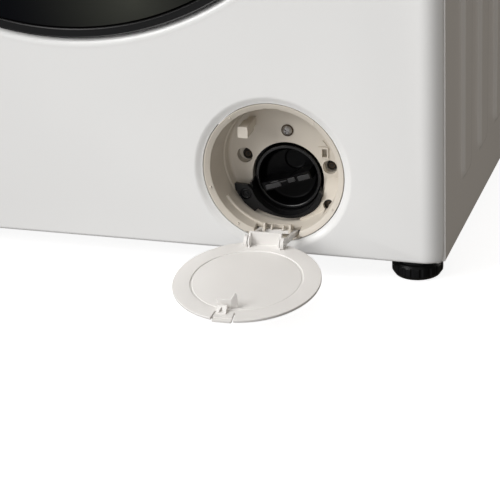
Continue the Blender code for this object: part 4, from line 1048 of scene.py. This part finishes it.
# -------------------------------------------------------------------- door
def cylinder_body(s, x, y0, y1, z, r, seg=32, soft=0.4):
    s.lathe(rounded([(0, y0), (r, y0, soft), (r, y1, soft), (0, y1)], 3), seg, x, z)


def slot_screw(x, y, z, r, depth, name, mat, body, out=-1, turn=20.0):
    """A pan head with a cross recess; out is -1 facing the front, 1 facing the back."""
    if out < 0:
        return piece(fine_screw(None, x, y, z, r, depth, "pan", turn), name, mat, body, edge=0.12)
    ob = fine_screw(None, x, 0.0, z, r, depth, "pan", turn)
    # mirrored to face the back
    for v in ob.data.vertices:
        v.co.y = -(v.co.y - SY * MM) + (y + SY) * MM
    ob.data.flip_normals()
    return piece(ob, name, mat, body, edge=0.12)


def door():
    # black bezel ring: fine bright edges come from small radii on both rims
    prof = rounded([(234.4, 1.2), (234.4, -1.0, 0.35), (235.3, -2.0, 0.35), (236.0, -1.7, 0.4), (240.6, -1.9, 0.4), (241.5, -2.3, 0.35),
                    (242.0, -1.4, 0.35), (242.0, 10.6, 0.9), (241.0, 11.7, 0.6), (238.6, 11.7), (238.6, 6.0), (190.0, 6.0), (190.0, 3.0), (233.0, 3.0, 0.6)], 4)
    ob = Shape().lathe(prof, 192, 0, DOOR_Z).object("bezel")
    carve(ob, Shape().block(-252, -226.4, -12, 22, DOOR_Z - 59.8, DOOR_Z + 59.8))
    lugs = Shape()
    for s in (-1, 1):
        lo, hi = sorted((DOOR_Z + s * 56.4, DOOR_Z + s * 60.8))
        lugs.prism(rounded([(227.4, -1.4), (227.4, -9.6, 1.6), (229.8, -10.9, 1.4), (233.0, -10.4, 1.4), (233.1, -1.4)], 4), lo, hi, "XY")
    carve(ob, lugs, op="UNION")
    piece(ob, "bezel_ring", "bezel_black", "door", "door_bezel", edge=0.18, seg=2, angle=40)
    # domed glass
    top, back = [], []
    for k in range(31):
        r = 232.9 * k / 30
        y = -14.0 + 12.6 * (r / 232.9) ** 2.3
        top.append((r, y))
        back.append((r, y + 3.0))
    prof = top[:-1] + rounded([(232.9, -1.4, 0.5), (233.4, -0.6, 0.5), (233.2, 1.7, 0.5), (232.0, 2.0)], 3, False) + back[::-1][1:]
    ob = Shape().lathe(prof, 160, 0, DOOR_Z).object("window")
    carve(ob, Shape().block(-252, -225.0, -22, 12, DOOR_Z - 33, DOOR_Z + 33))
    piece(ob, "door_glass_dome", "door_glass", "door", "door_window", sharp=40)
    # bowl: thick moulded glass that reaches into the drum's mouth
    outer = [(0, 66.0), (60, 65.4), (105, 63.6), (132, 61.0, 4.0), (145, 55.5, 4.0), (152, 45.0, 3.0), (161, 28.0, 3.0), (167.6, 8.6, 2.0), (170.0, 6.0, 1.0), (186, 6.0, 0.8), (186, 3.0, 0.6)]
    inner = [(166.5, 3.0, 1.5), (164.0, 6.0, 1.5), (157.4, 26.5, 3.0), (148, 43.0, 3.0), (140.5, 52.0, 4.0), (128, 57.6, 4.0), (104, 60.4), (60, 62.2), (0, 63.0)]
    ob = Shape().lathe(rounded(outer + inner, 4), 128, 0, DOOR_Z)
    piece(ob, "door_glass_bowl", "bowl_glass", "door", "door_bowl", sharp=60)
    # inner ring: moulded cover on the back of the door, ribbed, with screws
    prof = rounded([(169.4, 6.5, 0.5), (238.2, 6.5), (238.2, 10.4, 1.0), (236.6, 11.7, 1.2), (216.0, 11.7, 0.6), (214.6, 10.7, 0.6), (212.4, 10.7, 0.6), (211.0, 11.7, 0.6),
                    (176.0, 11.7, 2.2), (171.0, 10.2, 1.4), (169.4, 8.2, 0.6)], 4)
    ob = Shape().lathe(prof, 144, 0, DOOR_Z).object("inner")
    carve(ob, Shape().block(-252, -226, -2, 22, DOOR_Z - 22.8, DOOR_Z + 22.8), Shape().prism(round_rect(207.2, 232.8, DOOR_Z - 13.8, DOOR_Z + 13.8, 1.5), -2, 20))
    spots = [(202.5, a) for a in (38, 75, 112, 148, 212, 248, 285, 322)]
    for r, a in spots:
        x, z = r * math.cos(math.radians(a)), r * math.sin(math.radians(a))
        carve(ob, Shape().lathe(rounded([(0, 9.4), (3.6, 9.4), (4.6, 12.6), (0, 12.6)], 1), 24, x, DOOR_Z + z))
    lug = Shape()
    for s in (-1, 1):
        lo, hi = sorted((DOOR_Z + s * 20.7, DOOR_Z + s * 31))
        lug.prism(rounded([(-234.4, -4.3, 1.2), (-234.4, 11.0), (-226.6, 11.0), (-226.6, 2.0), (-228.6, -4.3, 1.2)], 3), lo, hi, "XY")
        lug.rod((-235, -3, lo), (-235, -3, hi), 3.5, 28)
    carve(ob, lug, op="UNION")
    piece(ob, "door_back_ring", "panel_plastic", "door", "door_inner_ring", edge=0.3, seg=2, angle=40)
    for k, (r, a) in enumerate(spots):
        x, z = r * math.cos(math.radians(a)), r * math.sin(math.radians(a))
        slot_screw(x, 9.5, DOOR_Z + z, 3.2, 1.7, "door_back_screw_%d" % k, "zinc", "door", out=1, turn=15.0 + 31 * k)
    # hinge plate, arm and knuckle on the cabinet
    h = Shape().prism(rounded([(-239.5, DOOR_Z - 27.8, 3.0), (-216.2, DOOR_Z - 27.8, 3.0), (-216.2, DOOR_Z + 27.8, 3.0), (-239.5, DOOR_Z + 27.8, 3.0)], 4), 12.9, 14.5).object("hp")
    arm = Shape().block(-236.4, -233.4, -2.7, 13.4, DOOR_Z - 19.8, DOOR_Z + 19.8)
    arm.rod((-235, -3, DOOR_Z - 20.0), (-235, -3, DOOR_Z + 20.0), 3.4, 28)
    carve(h, arm, op="UNION")
    piece(h, "hinge_arm", "zinc", "root", "door_hinge", edge=0.35)
    for k, z in enumerate((-22.6, 22.6)):
        slot_screw(-226.0, 12.9, DOOR_Z + z, 4.2, 1.9, "hinge_screw_%d" % k, "screw_steel", "root", turn=35 + 40 * k)
    # grip: curved bar over the glass edge, with a shallow pocket in its face
    pts = [(232.3, -4.2, 1.0), (232.3, -21.5, 3.6), (228.0, -25.9, 3.4), (200.0, -25.9, 2.4), (195.4, -24.2, 1.0), (195.2, -22.7, 0.5), (219.5, -21.3, 2.0), (224.3, -17.5, 2.6), (224.7, -4.2, 1.0)]
    ob = Shape().prism(rounded(pts, 5), DOOR_Z - 55.4, DOOR_Z + 55.4, "XY").object("grip")
    curve = arc_pts(0, DOOR_Z, 236.0, -17, 17, 30) + [(300, DOOR_Z + 90), (300, DOOR_Z - 90)]
    carve(ob, Shape().prism(curve, -40, 10, "XZ"))
    carve(ob, Shape().prism(round_rect(203, 217, DOOR_Z - 40, DOOR_Z + 40, 6.5), -27.0, -24.9))
    piece(ob, "door_grip", "black_satin", "handle", "door_handle", edge=0.8, seg=3, angle=40)
    # hook
    ob = Shape().prism(round_rect(210, 230, DOOR_Z - 9, DOOR_Z + 9, 1.5), 7.4, 11.3).object("hook")
    jaw = Shape().prism(rounded([(216, 10), (221, 10), (221, 28.4, 1.2), (219.6, 29.8, 1.0), (212.0, 29.8), (209.2, 27.2, 0.8), (216, 25.6, 1.4)], 4), DOOR_Z - 5.8, DOOR_Z + 5.8, "XY")
    carve(ob, jaw, op="UNION")
    carve(ob, Shape().prism(round_rect(217.4, 219.8, DOOR_Z - 2.6, DOOR_Z + 2.6, 1.1), 13, 33, "XZ"))
    piece(ob, "latch_hook", "zinc", "hook", "door_hook", edge=0.3)
    # lock box with a moulded slot
    ob = Shape().prism(round_rect(196.7, 239.8, DOOR_Z - 26.8, DOOR_Z + 26.8, 3), 16.8, 34.4).object("lock")
    carve(ob, Shape().prism(round_rect(203, 233, DOOR_Z - 16, DOOR_Z + 16, 2), 10, 32.2))
    piece(ob, "lock_box", "grey_plastic", "root", "door_lock", edge=0.4)
    # bellows: soft folds between cabinet and tub
    g = [(170.2, 12.8, 1.2), (186.2, 12.6, 1.2), (186.4, 16.9, 0.4), (193.8, 16.9, 1.0), (193.8, 20.3, 1.0), (187.4, 20.7, 1.4), (187.6, 27.0, 3.0), (190.9, 36.0, 3.5), (190.4, 44.0, 4.0),
         (181.4, 53.8, 3.4), (183.6, 61.0, 2.4), (187.0, 66.0, 2.0), (186.8, 71.5, 0.8), (183.3, 71.5, 0.8), (180.0, 62.0, 2.4), (177.2, 54.0, 3.0), (184.4, 45.0, 3.6), (186.6, 38.0, 3.0), (184.0, 30.0, 3.0),
         (181.6, 22.6, 2.0), (170.2, 17.8, 1.2)]
    piece(Shape().lathe(rounded(g, 4), 128, 0, DOOR_Z), "bellows", "rubber_grey", "root", "door_gasket", sharp=50)


door()


# --------------------------------------------------------------- controls
def controls():
    # fascia: softly rounded front, openings for drawer, knob, display, keys
    sec = rounded([(7.5, 725.6), (7.5, 828.8), (-0.5, 828.8, 2.6), (-3.0, 825.4, 3.0), (-3.0, 729.0, 3.0), (-0.5, 725.6, 2.6)], 5)
    ob = Shape().prism(sec, -HALF, HALF, "YZ").object("fascia")
    carve(ob, Shape().block(-295.2, 295.2, -0.4, 12, 728.6, 826.2))
    tools = [Shape().prism(round_rect(-288, -122, 738, 818, 3.0), -12, 6),
             Shape().rod((0, -12, 777), (0, 6, 777), 4.7, 28),
             Shape().prism(round_rect(60.0, 170.0, 757.0, 797.0, 2.5), -12, 6),
             Shape().rod((212, -12, 777), (212, 6, 777), 11.7, 48), Shape().rod((256, -12, 777), (256, 6, 777), 11.7, 48)]
    # a fine groove round the dial
    groove = Shape().lathe(rounded([(43.0, -3.4), (43.6, -3.4), (43.6, -2.55), (43.0, -2.55)], 1), 96, 0, 777)
    carve(ob, *tools)
    carve(ob, groove)
    piece(ob, "fascia", "panel_plastic", "root", "control_panel", edge=0.35, seg=2, angle=38)
    # dial: skirt, fluted grip, pointer line
    prof = rounded([(0, -23.2), (19.6, -23.2, 1.6), (21.4, -21.8, 0.8), (22.6, -7.6, 1.4), (25.6, -5.6, 1.0), (25.9, -3.7, 0.4), (4.0, -3.7), (4.0, 8.8), (0, 8.8)], 5)
    ob = Shape().lathe(prof, 144, 0, 777).object("dial")
    flutes = Shape()
    for k in range(36):
        a = 2 * PI * k / 36
        flutes.rod((23.4 * math.cos(a), -26, 777 + 23.4 * math.sin(a)), (24.6 * math.cos(a), -8.4, 777 + 24.6 * math.sin(a)), 1.25, 10)
    carve(ob, flutes)
    carve(ob, Shape().prism(round_rect(-0.8, 0.8, 777 + 8, 777 + 18.6, 0.7), -24, -22.7))
    piece(ob, "dial", "dial_plastic", "knob", "programme_knob", edge=0.25, seg=2, angle=50)
    piece(Shape().prism(round_rect(-0.7, 0.7, 777 + 8.2, 777 + 18.4, 0.6), -22.9, -22.75), "dial_mark", "black_satin", "knob", edge=0.05)
    # ticks round the dial
    t_ = Shape()
    for k in range(24):
        a = math.radians(90 + 15 * k)
        m = Matrix.Translation((0, 0, 777)) @ Matrix.Rotation(-(a - PI / 2), 4, "Y")
        long_ = 2.6 if k % 6 == 0 else 1.6
        t_.prism(round_rect(-0.3, 0.3, 31.0, 31.0 + long_, 0.25, 2), -3.12, -2.95, "XZ", m)
    piece(t_, "dial_ticks", "grey_print", "root", edge=0.0)
    for n, bx in (("start_button", 212), ("power_button", 256)):
        prof = rounded([(0, -5.2), (6.0, -5.45), (9.6, -6.0, 0.8), (10.9, -5.2, 0.8), (11.2, -3.0), (11.2, 6.4), (0, 6.4)], 4)
        piece(Shape().lathe(prof, 72, bx, 777), n + "_key", "panel_plastic", n, n, edge=0.2)
    # signs on the keys: a triangle, and a ring and bar
    sgn = Shape().prism([(209.4, 773.4), (215.6, 777.0), (209.4, 780.6)], -5.9, -5.3)
    piece(sgn, "start_sign", "grey_print", "start_button", edge=0.05)
    sgn = Shape().lathe(rounded([(3.0, -5.75), (3.7, -5.75), (3.7, -5.2), (3.0, -5.2)], 1), 40, 256, 777, 118, 422)
    sgn.block(255.65, 256.35, -5.85, -5.2, 777.6, 781.2)
    piece(sgn, "power_sign", "grey_print", "power_button")
    # display: bevelled dark window with lit bars behind it
    ob = Shape().prism(round_rect(60.4, 169.6, 757.4, 796.6, 2.2), -2.75, 0.3)
    piece(ob, "display_pane", "display_glass", "root", "display_window", edge=0.5, seg=3)
    bars = Shape()
    seg7 = {"a": (0, 8, 6, 1), "d": (0, -8, 6, 1), "g": (0, 0, 6, 1), "f": (-4, 4, 1, 6.4), "b": (4, 4, 1, 6.4), "e": (-4, -4, 1, 6.4), "c": (4, -4, 1, 6.4)}
    for cx, glyph in ((93, "bc"), (108, "abged"), (130, "abcdef"), (145, "abcdef")):
        for g in glyph:
            u, v, w_, h_ = seg7[g]
            bars.prism(round_rect(cx + u - w_ / 2, cx + u + w_ / 2, 777 + v - h_ / 2, 777 + v + h_ / 2, 0.35, 2), -2.95, -2.78)
    for z in (774, 780):
        bars.prism(circle(119, z, 0.8, 14), -2.95, -2.78)
    piece(bars, "display_digits", "lit_digit", "root")
    # drawer front with a finger scoop, tray with three bays
    front_ = Shape().prism(round_rect(-287.2, -122.8, 738.8, 817.2, 3.0), -4.9, -0.8).object("drawer")
    body_ = Shape().block(-280, -130, -1.4, 240, 745, 800)
    bays = [Shape().prism(round_rect(-278, -232, 2, 238, 5), 747, 812, "XY"), Shape().prism(round_rect(-230, -184, 2, 238, 5), 747.2, 813, "XY"), Shape().prism(round_rect(-182, -132, 2, 238, 5), 747.4, 814, "XY")]
    tray = body_.object("tray")
    carve(tray, *bays)
    carve(front_, tray, op="UNION")
    scoop = Shape()
    scoop.prism(rounded([(-240, 741.0), (-170, 741.0), (-176, 757.0, 8.0), (-234, 757.0, 8.0)], 6), -6.0, -2.2)
    carve(front_, scoop)
    piece(front_, "drawer_tray", "panel_plastic", "drawer", "detergent_drawer", edge=0.4, seg=2, angle=40)
    grip = Shape().prism(rounded([(-238, 744.6), (-172, 744.6), (-175.6, 755.4, 6.0), (-234.4, 755.4, 6.0)], 6), -2.3, -1.5)
    piece(grip, "drawer_grip", "grey_plastic", "drawer", edge=0.3)
    rules = Shape()
    for x in (-255, -207, -157):
        rules.prism(round_rect(x - 5, x + 5, 803.4, 804.2, 0.3, 2), -5.05, -4.85)
    piece(rules, "drawer_marks", "grey_print", "drawer")


controls()


# ---------------------------------------------------------------- cabinet
def cabinet():
    # worktop: rounded edge, its sheet set in a frame
    sec = rounded([(-HALF, -3.0, 4.0), (HALF, -3.0, 4.0), (HALF, 563.0, 4.0), (-HALF, 563.0, 4.0)], 6)
    ob = Shape().prism(sec, 829.4, 847.0, "XY")
    piece(ob, "worktop", "panel_plastic", "root", "top_cover", edge=3.2, seg=4, angle=50)
    lay = Shape()
    # thin joint line round the inset board
    lay.tube([(x, y, 846.55) for x, y in round_rect(-283.4, 283.4, 12.6, 547.4, 8.5, 6)], 0.6, 8, closed=True)
    piece(lay, "worktop_joint", "grey_print", "root")
    # back sheet with pressed panels, access cover, screws and air slots
    ob = Shape().block(-297.2, 297.2, 560.4, 561.6, 20.6, 828.8).object("back")
    tools = [Shape().rod((0, 550, DOOR_Z), (0, 570, DOOR_Z), 176, 96), Shape().rod((-240, 550, 775), (-240, 570, 775), 9.6, 40)]
    air = Shape()
    for k in range(7):
        for sx in (-1, 1):
            air.prism(round_rect(sx * 235 - 26, sx * 235 + 26, 640 + 11 * k, 644 + 11 * k, 1.9, 4), 550, 570)
    carve(ob, *tools)
    carve(ob, air)
    piece(ob, "back_sheet", "enamel", "root", "rear_panel", edge=0.2)
    beads = Shape()
    for sx in (-1, 1):
        for z0, z1 in ((70, 600),):
            beads.prism(round_rect(sx * 235 - 7, sx * 235 + 7, z0, z1, 6.8, 8), 561.4, 563.2)
    piece(beads, "back_beads", "enamel", "root", edge=1.4, seg=3)
    prof = rounded([(0, 573.1), (120, 573.1), (156, 572.4, 4.0), (168, 566.0, 4.0), (173, 563.4, 2.0), (191.4, 563.4, 0.6), (192, 562.4, 0.4), (173, 562.2), (157, 571.0), (0, 571.9)], 5)
    ob = Shape().lathe(prof, 128, 0, DOOR_Z).object("cover")
    ribs = Shape()
    for k in range(6):
        a = PI * k / 3
        m = Matrix.Translation((0, 0, DOOR_Z)) @ Matrix.Rotation(a, 4, "Y")
        ribs.prism(round_rect(-3, 3, 46, 138, 2.8, 5), 572.6, 574.8, "XZ", m)
    ribs.lathe(rounded([(34, 572.6), (38, 572.6), (37.4, 574.8, 0.8), (34.6, 574.8, 0.8)], 3), 72, 0, DOOR_Z)
    carve(ob, ribs, op="UNION")
    piece(ob, "back_cover", "grey_plastic", "root", "rear_access_cover", edge=0.4, angle=45)
    n = 0
    for a in (30, 90, 150, 210, 270, 330):
        x, z = 184 * math.cos(math.radians(a)), DOOR_Z + 184 * math.sin(math.radians(a))
        slot_screw(x, 563.3, z, 4.4, 2.0, "back_screw_%d" % n, "zinc", "root", out=1, turn=17.0 * n)
        n += 1
    for x in (-288, 288):
        for z in (60, 300, 560, 800):
            slot_screw(x, 561.5, z, 4.4, 2.0, "back_screw_%d" % n, "zinc", "root", out=1, turn=23.0 * n)
            n += 1
    # inlet valve with its threaded stub
    ob = Shape().prism(round_rect(-262, -218, 756, 796, 3), 508, 559.8, "XZ").object("valve")
    th = [(0, 549.0), (9.2, 549.0)]
    y = 562.0
    while y < 576.0:
        th += [(8.5, y), (9.3, y + 0.7), (9.3, y + 1.1), (8.5, y + 1.8)]
        y += 2.4
    th += [(8.6, 577.2), (8.2, 577.9), (0, 577.9)]
    stub = Shape().lathe(th, 48, -240, 775)
    rear = Shape().rod((-240, 490.2, 775), (-240, 510, 775), 7, 28)
    carve(ob, stub, rear, op="UNION")
    carve(ob, Shape().rod((-240, 560.5, 775), (-240, 590, 775), 6.4, 32))
    piece(ob, "inlet_valve", "panel_plastic", "root", "water_inlet_valve", edge=0.3, angle=50)
    nut = Shape().lathe(rounded([(9.7, 561.7), (15.6, 561.7, 1.0), (15.6, 563.6, 1.0), (9.7, 563.6)], 3), 48, -240, 775)
    piece(nut, "inlet_flange", "grey_plastic", "root")
    # feet: ribbed pad, hexagon nut and threaded stem
    # feet: round pad notched round its rim, a short collar and a plain stem
    for nme, (fx, fy) in FEET.items():
        prof = rounded([(0, 0.0), (15.6, 0.0, 1.2), (17.6, 0.8, 1.0), (19.9, 4.2, 1.4), (19.9, 9.8, 1.6), (18.6, 12.4, 1.2), (17.4, 13.4, 0.8), (17.0, 19.8, 0.5), (5.0, 19.8), (5.0, 51.8, 0.6), (0, 51.8)], 4)
        s = Shape().lathe(prof, 96, fx, fy, axis="Z")
        ob = s.object("foot")
        nicks = Shape()
        for k in range(18):
            a = 2 * PI * (k + 0.5) / 18
            nicks.rod((fx + 21.4 * math.cos(a), fy + 21.4 * math.sin(a), 3.4), (fx + 21.4 * math.cos(a), fy + 21.4 * math.sin(a), 10.6), 2.4, 12)
        carve(ob, nicks)
        piece(ob, "foot_" + nme[5:], "foot_rubber", nme, "levelling_" + nme, edge=0.25, seg=2, angle=35)
    # base: floor tray with stiffening rails
    b = Shape().prism(round_rect(-291.3, 291.3, 6.2, 551.8, 4), 20.6, 24.4, "XY").object("base")
    carve(b, Shape().prism(round_rect(-200, 200, 215, 470, 12), 10, 40, "XY"))
    rails = [Shape().block(-291.3, -236.2, 6.2, 551.8, 23.5, 55.8), Shape().block(236.2, 291.3, 6.2, 551.8, 23.5, 55.6),
             Shape().block(-239.8, 239.8, 510.2, 551.8, 23.7, 51.8), Shape().block(-252, -216.2, 246.2, 273.8, 23.4, 60.8), Shape().block(216.2, 252, 246.2, 273.8, 23.4, 60.7)]
    carve(b, *rails, op="UNION")
    holes = Shape()
    for fx, fy in FEET.values():
        holes.rod((fx, fy, 10), (fx, fy, 54), 5.75, 24)
    carve(b, holes)
    piece(b, "base_tray", "grey_plastic", "root", "base_frame", edge=0.6, seg=2, angle=45)


cabinet()


# ------------------------------------------------------------------- inside
def inside():
    # drum: rolled front lip, beads round the shell, dished back and lifters
    R = DRUM_R
    out = [(0, 428.0), (60, 428.0), (75, 427.0, 3), (R - 16, 427.2, 6), (R - 3, 422, 5), (R - 0.3, 408.0, 2)]
    for y in (360, 300, 240, 180):
        out += [(R - 0.3, y + 7), (R - 1.9, y + 2.5, 2), (R - 1.9, y - 2.5, 2), (R - 0.3, y - 7)]
    out += [(R - 0.3, 118.0, 2), (R - 5, 103.0, 4), (R - 16, 100.2, 4), (182, 100.0, 3), (173, 101.0, 2), (172.2, 106.0, 1), (173.6, 106.0), (174.4, 103.2, 1.5), (182, 102.4, 3), (R - 17, 102.6, 4),
            (R - 7, 105.0, 3), (R - 2.1, 119.0, 2)]
    for y in (180, 240, 300, 360):
        out += [(R - 2.1, y - 7), (R - 3.6, y - 2.5, 2), (R - 3.6, y + 2.5, 2), (R - 2.1, y + 7)]
    out += [(R - 2.1, 408.0, 2), (R - 5, 420.6, 3), (R - 17, 425.2, 4), (75, 425.2, 3), (60, 426.2), (0, 426.2)]
    ob = Shape().lathe(rounded(out, 3), 144, 0, DOOR_Z)
    piece(ob, "drum_shell", "drum_steel", "drum", "drum", sharp=45)
    for k in range(3):
        a = math.radians(90 + 120 * k)
        m = Matrix.Translation((0, 0, DOOR_Z)) @ Matrix.Rotation(a - PI / 2, 4, "Y")
        sec = rounded([(-24, 243.4), (24, 243.4), (17, 226, 6), (8.6, 206.5, 4.5), (-8.6, 206.5, 4.5), (-17, 226, 6)], 5)
        lift = Shape().prism(sec, 125.4, 404.6, "XZ", m).object("lifter")
        piece(lift, "drum_lifter_%d" % k, "panel_plastic", "drum", edge=2.2, seg=3, angle=40)
    # tub front: a shell with its flange, two lugs and a bored boss
    T = TUB_R
    f = [(178, 72.2, 1.2), (187.8, 72.2, 1.2), (187.8, 80.2, 1.5), (T - 6, 80.2, 6), (T, 88, 4), (T, 262.0), (T + 4.4, 263.0, 0.6), (T + 4.4, 269.9), (T - 4, 269.9), (T - 4, 90, 5), (T - 10, 84.2, 4), (178, 84.2, 1)]
    ob = Shape().lathe(rounded(f, 4), 112, 0, DOOR_Z).object("tubf")
    add = [Shape().block(min(s * 214, s * 246), max(s * 214, s * 246), 250.2, 268.2, 284.4, 314) for s in (-1, 1)]
    add.append(Shape().rod((30, 180, 140.2), (30, 180, 168), 16, 40))
    carve(ob, *add, op="UNION")
    carve(ob, Shape().rod((30, 180, 130), (30, 180, 174), 12, 32), Shape().rod((0, 85.5, DOOR_Z), (0, 300, DOOR_Z), T - 4.1, 112))
    piece(ob, "tub_front_shell", "grey_plastic", "tub", "tub_front", edge=0.4, angle=45)


inside()


# ------------------------------------------------------------------- light
def area(name, loc, target, size, power, colour=(1, 1, 1), size_y=None):
    ld = bpy.data.lights.new(name, "AREA")
    ld.shape = "RECTANGLE"
    ld.size = size
    ld.size_y = size_y or size
    ld.energy = power
    ld.color = colour
    o = bpy.data.objects.new(name, ld)
    bpy.context.scene.collection.objects.link(o)
    o.location = loc
    o.rotation_euler = (Vector(target) - Vector(loc)).to_track_quat("-Z", "Y").to_euler()
    return o


world = bpy.data.worlds.new("studio")
bpy.context.scene.world = world
world.use_nodes = True
wt = world.node_tree
wc = wt.nodes.new("ShaderNodeTexCoord")
wx = wt.nodes.new("ShaderNodeSeparateXYZ")
wt.links.new(wc.outputs["Generated"], wx.inputs["Vector"])


def wmap(sock, a, b, lo, hi):
    n = wt.nodes.new("ShaderNodeMapRange")
    n.interpolation_type = "SMOOTHSTEP"
    for k, v in zip(("From Min", "From Max", "To Min", "To Max"), (a, b, lo, hi)):
        n.inputs[k].default_value = v
    wt.links.new(sock, n.inputs["Value"])
    return n.outputs["Result"]


front = wmap(wx.outputs["Y"], 0.1, -0.85, 0.0, 1.0)
left = wmap(wx.outputs["X"], 0.85, -0.30, 0.0, 1.0)
mul = wt.nodes.new("ShaderNodeMath")
mul.operation = "MULTIPLY"
wt.links.new(front, mul.inputs[0])
wt.links.new(left, mul.inputs[1])
wm = wt.nodes.new("ShaderNodeMix")
wm.data_type = "RGBA"
wt.links.new(mul.outputs[0], wm.inputs["Factor"])
rgba = [q for q in wm.inputs if q.type == "RGBA"]
rgba[0].default_value = (0.120, 0.108, 0.094, 1)
rgba[1].default_value = (0.62, 0.62, 0.63, 1)
wt.links.new([q for q in wm.outputs if q.type == "RGBA"][0], wt.nodes["Background"].inputs["Color"])
wt.nodes["Background"].inputs["Strength"].default_value = 1.0
bpy.context.scene.view_settings.view_transform = "Standard"

area("key", (-2.6, -3.0, 2.0), (0, 0, 0.3), 2.2, 107, (1.0, 0.995, 0.985))
area("top", (-1.3, -1.5, 3.0), (-0.1, -0.3, 0), 1.4, 40, (1.0, 0.99, 0.98))
area("fill", (1.4, -3.2, 0.7), (0.2, 0.0, 0.2), 1.2, 7, (1.0, 0.985, 0.965))
area("side", (3.1, 2.2, 0.8), (0.3, 0.1, 0.25), 0.55, 23, (1.0, 0.94, 0.88))
area("rear", (-0.7, 3.9, 0.35), (0.0, 0.5, 0.4), 0.7, 50, (1.0, 0.95, 0.90))

bm = bmesh.new()
bmesh.ops.create_grid(bm, x_segments=1, y_segments=1, size=70.0)
me = bpy.data.meshes.new("floor")
bm.to_mesh(me)
bm.free()
floor = bpy.data.objects.new("floor", me)
floor.location = (0, 0, -0.0005)
bpy.context.scene.collection.objects.link(floor)
t = Tree("floor_paper")
t.set(Base_Color=t.ramp(t.noise(1.5), [(0.3, (0.50, 0.50, 0.50)), (0.7, (0.52, 0.52, 0.52))]), Roughness=0.9,
      Emission_Color=(1, 1, 1), Emission_Strength=0.86)
floor.data.materials.append(MATS["floor_paper"])
floor.visible_diffuse = False
floor.visible_glossy = False
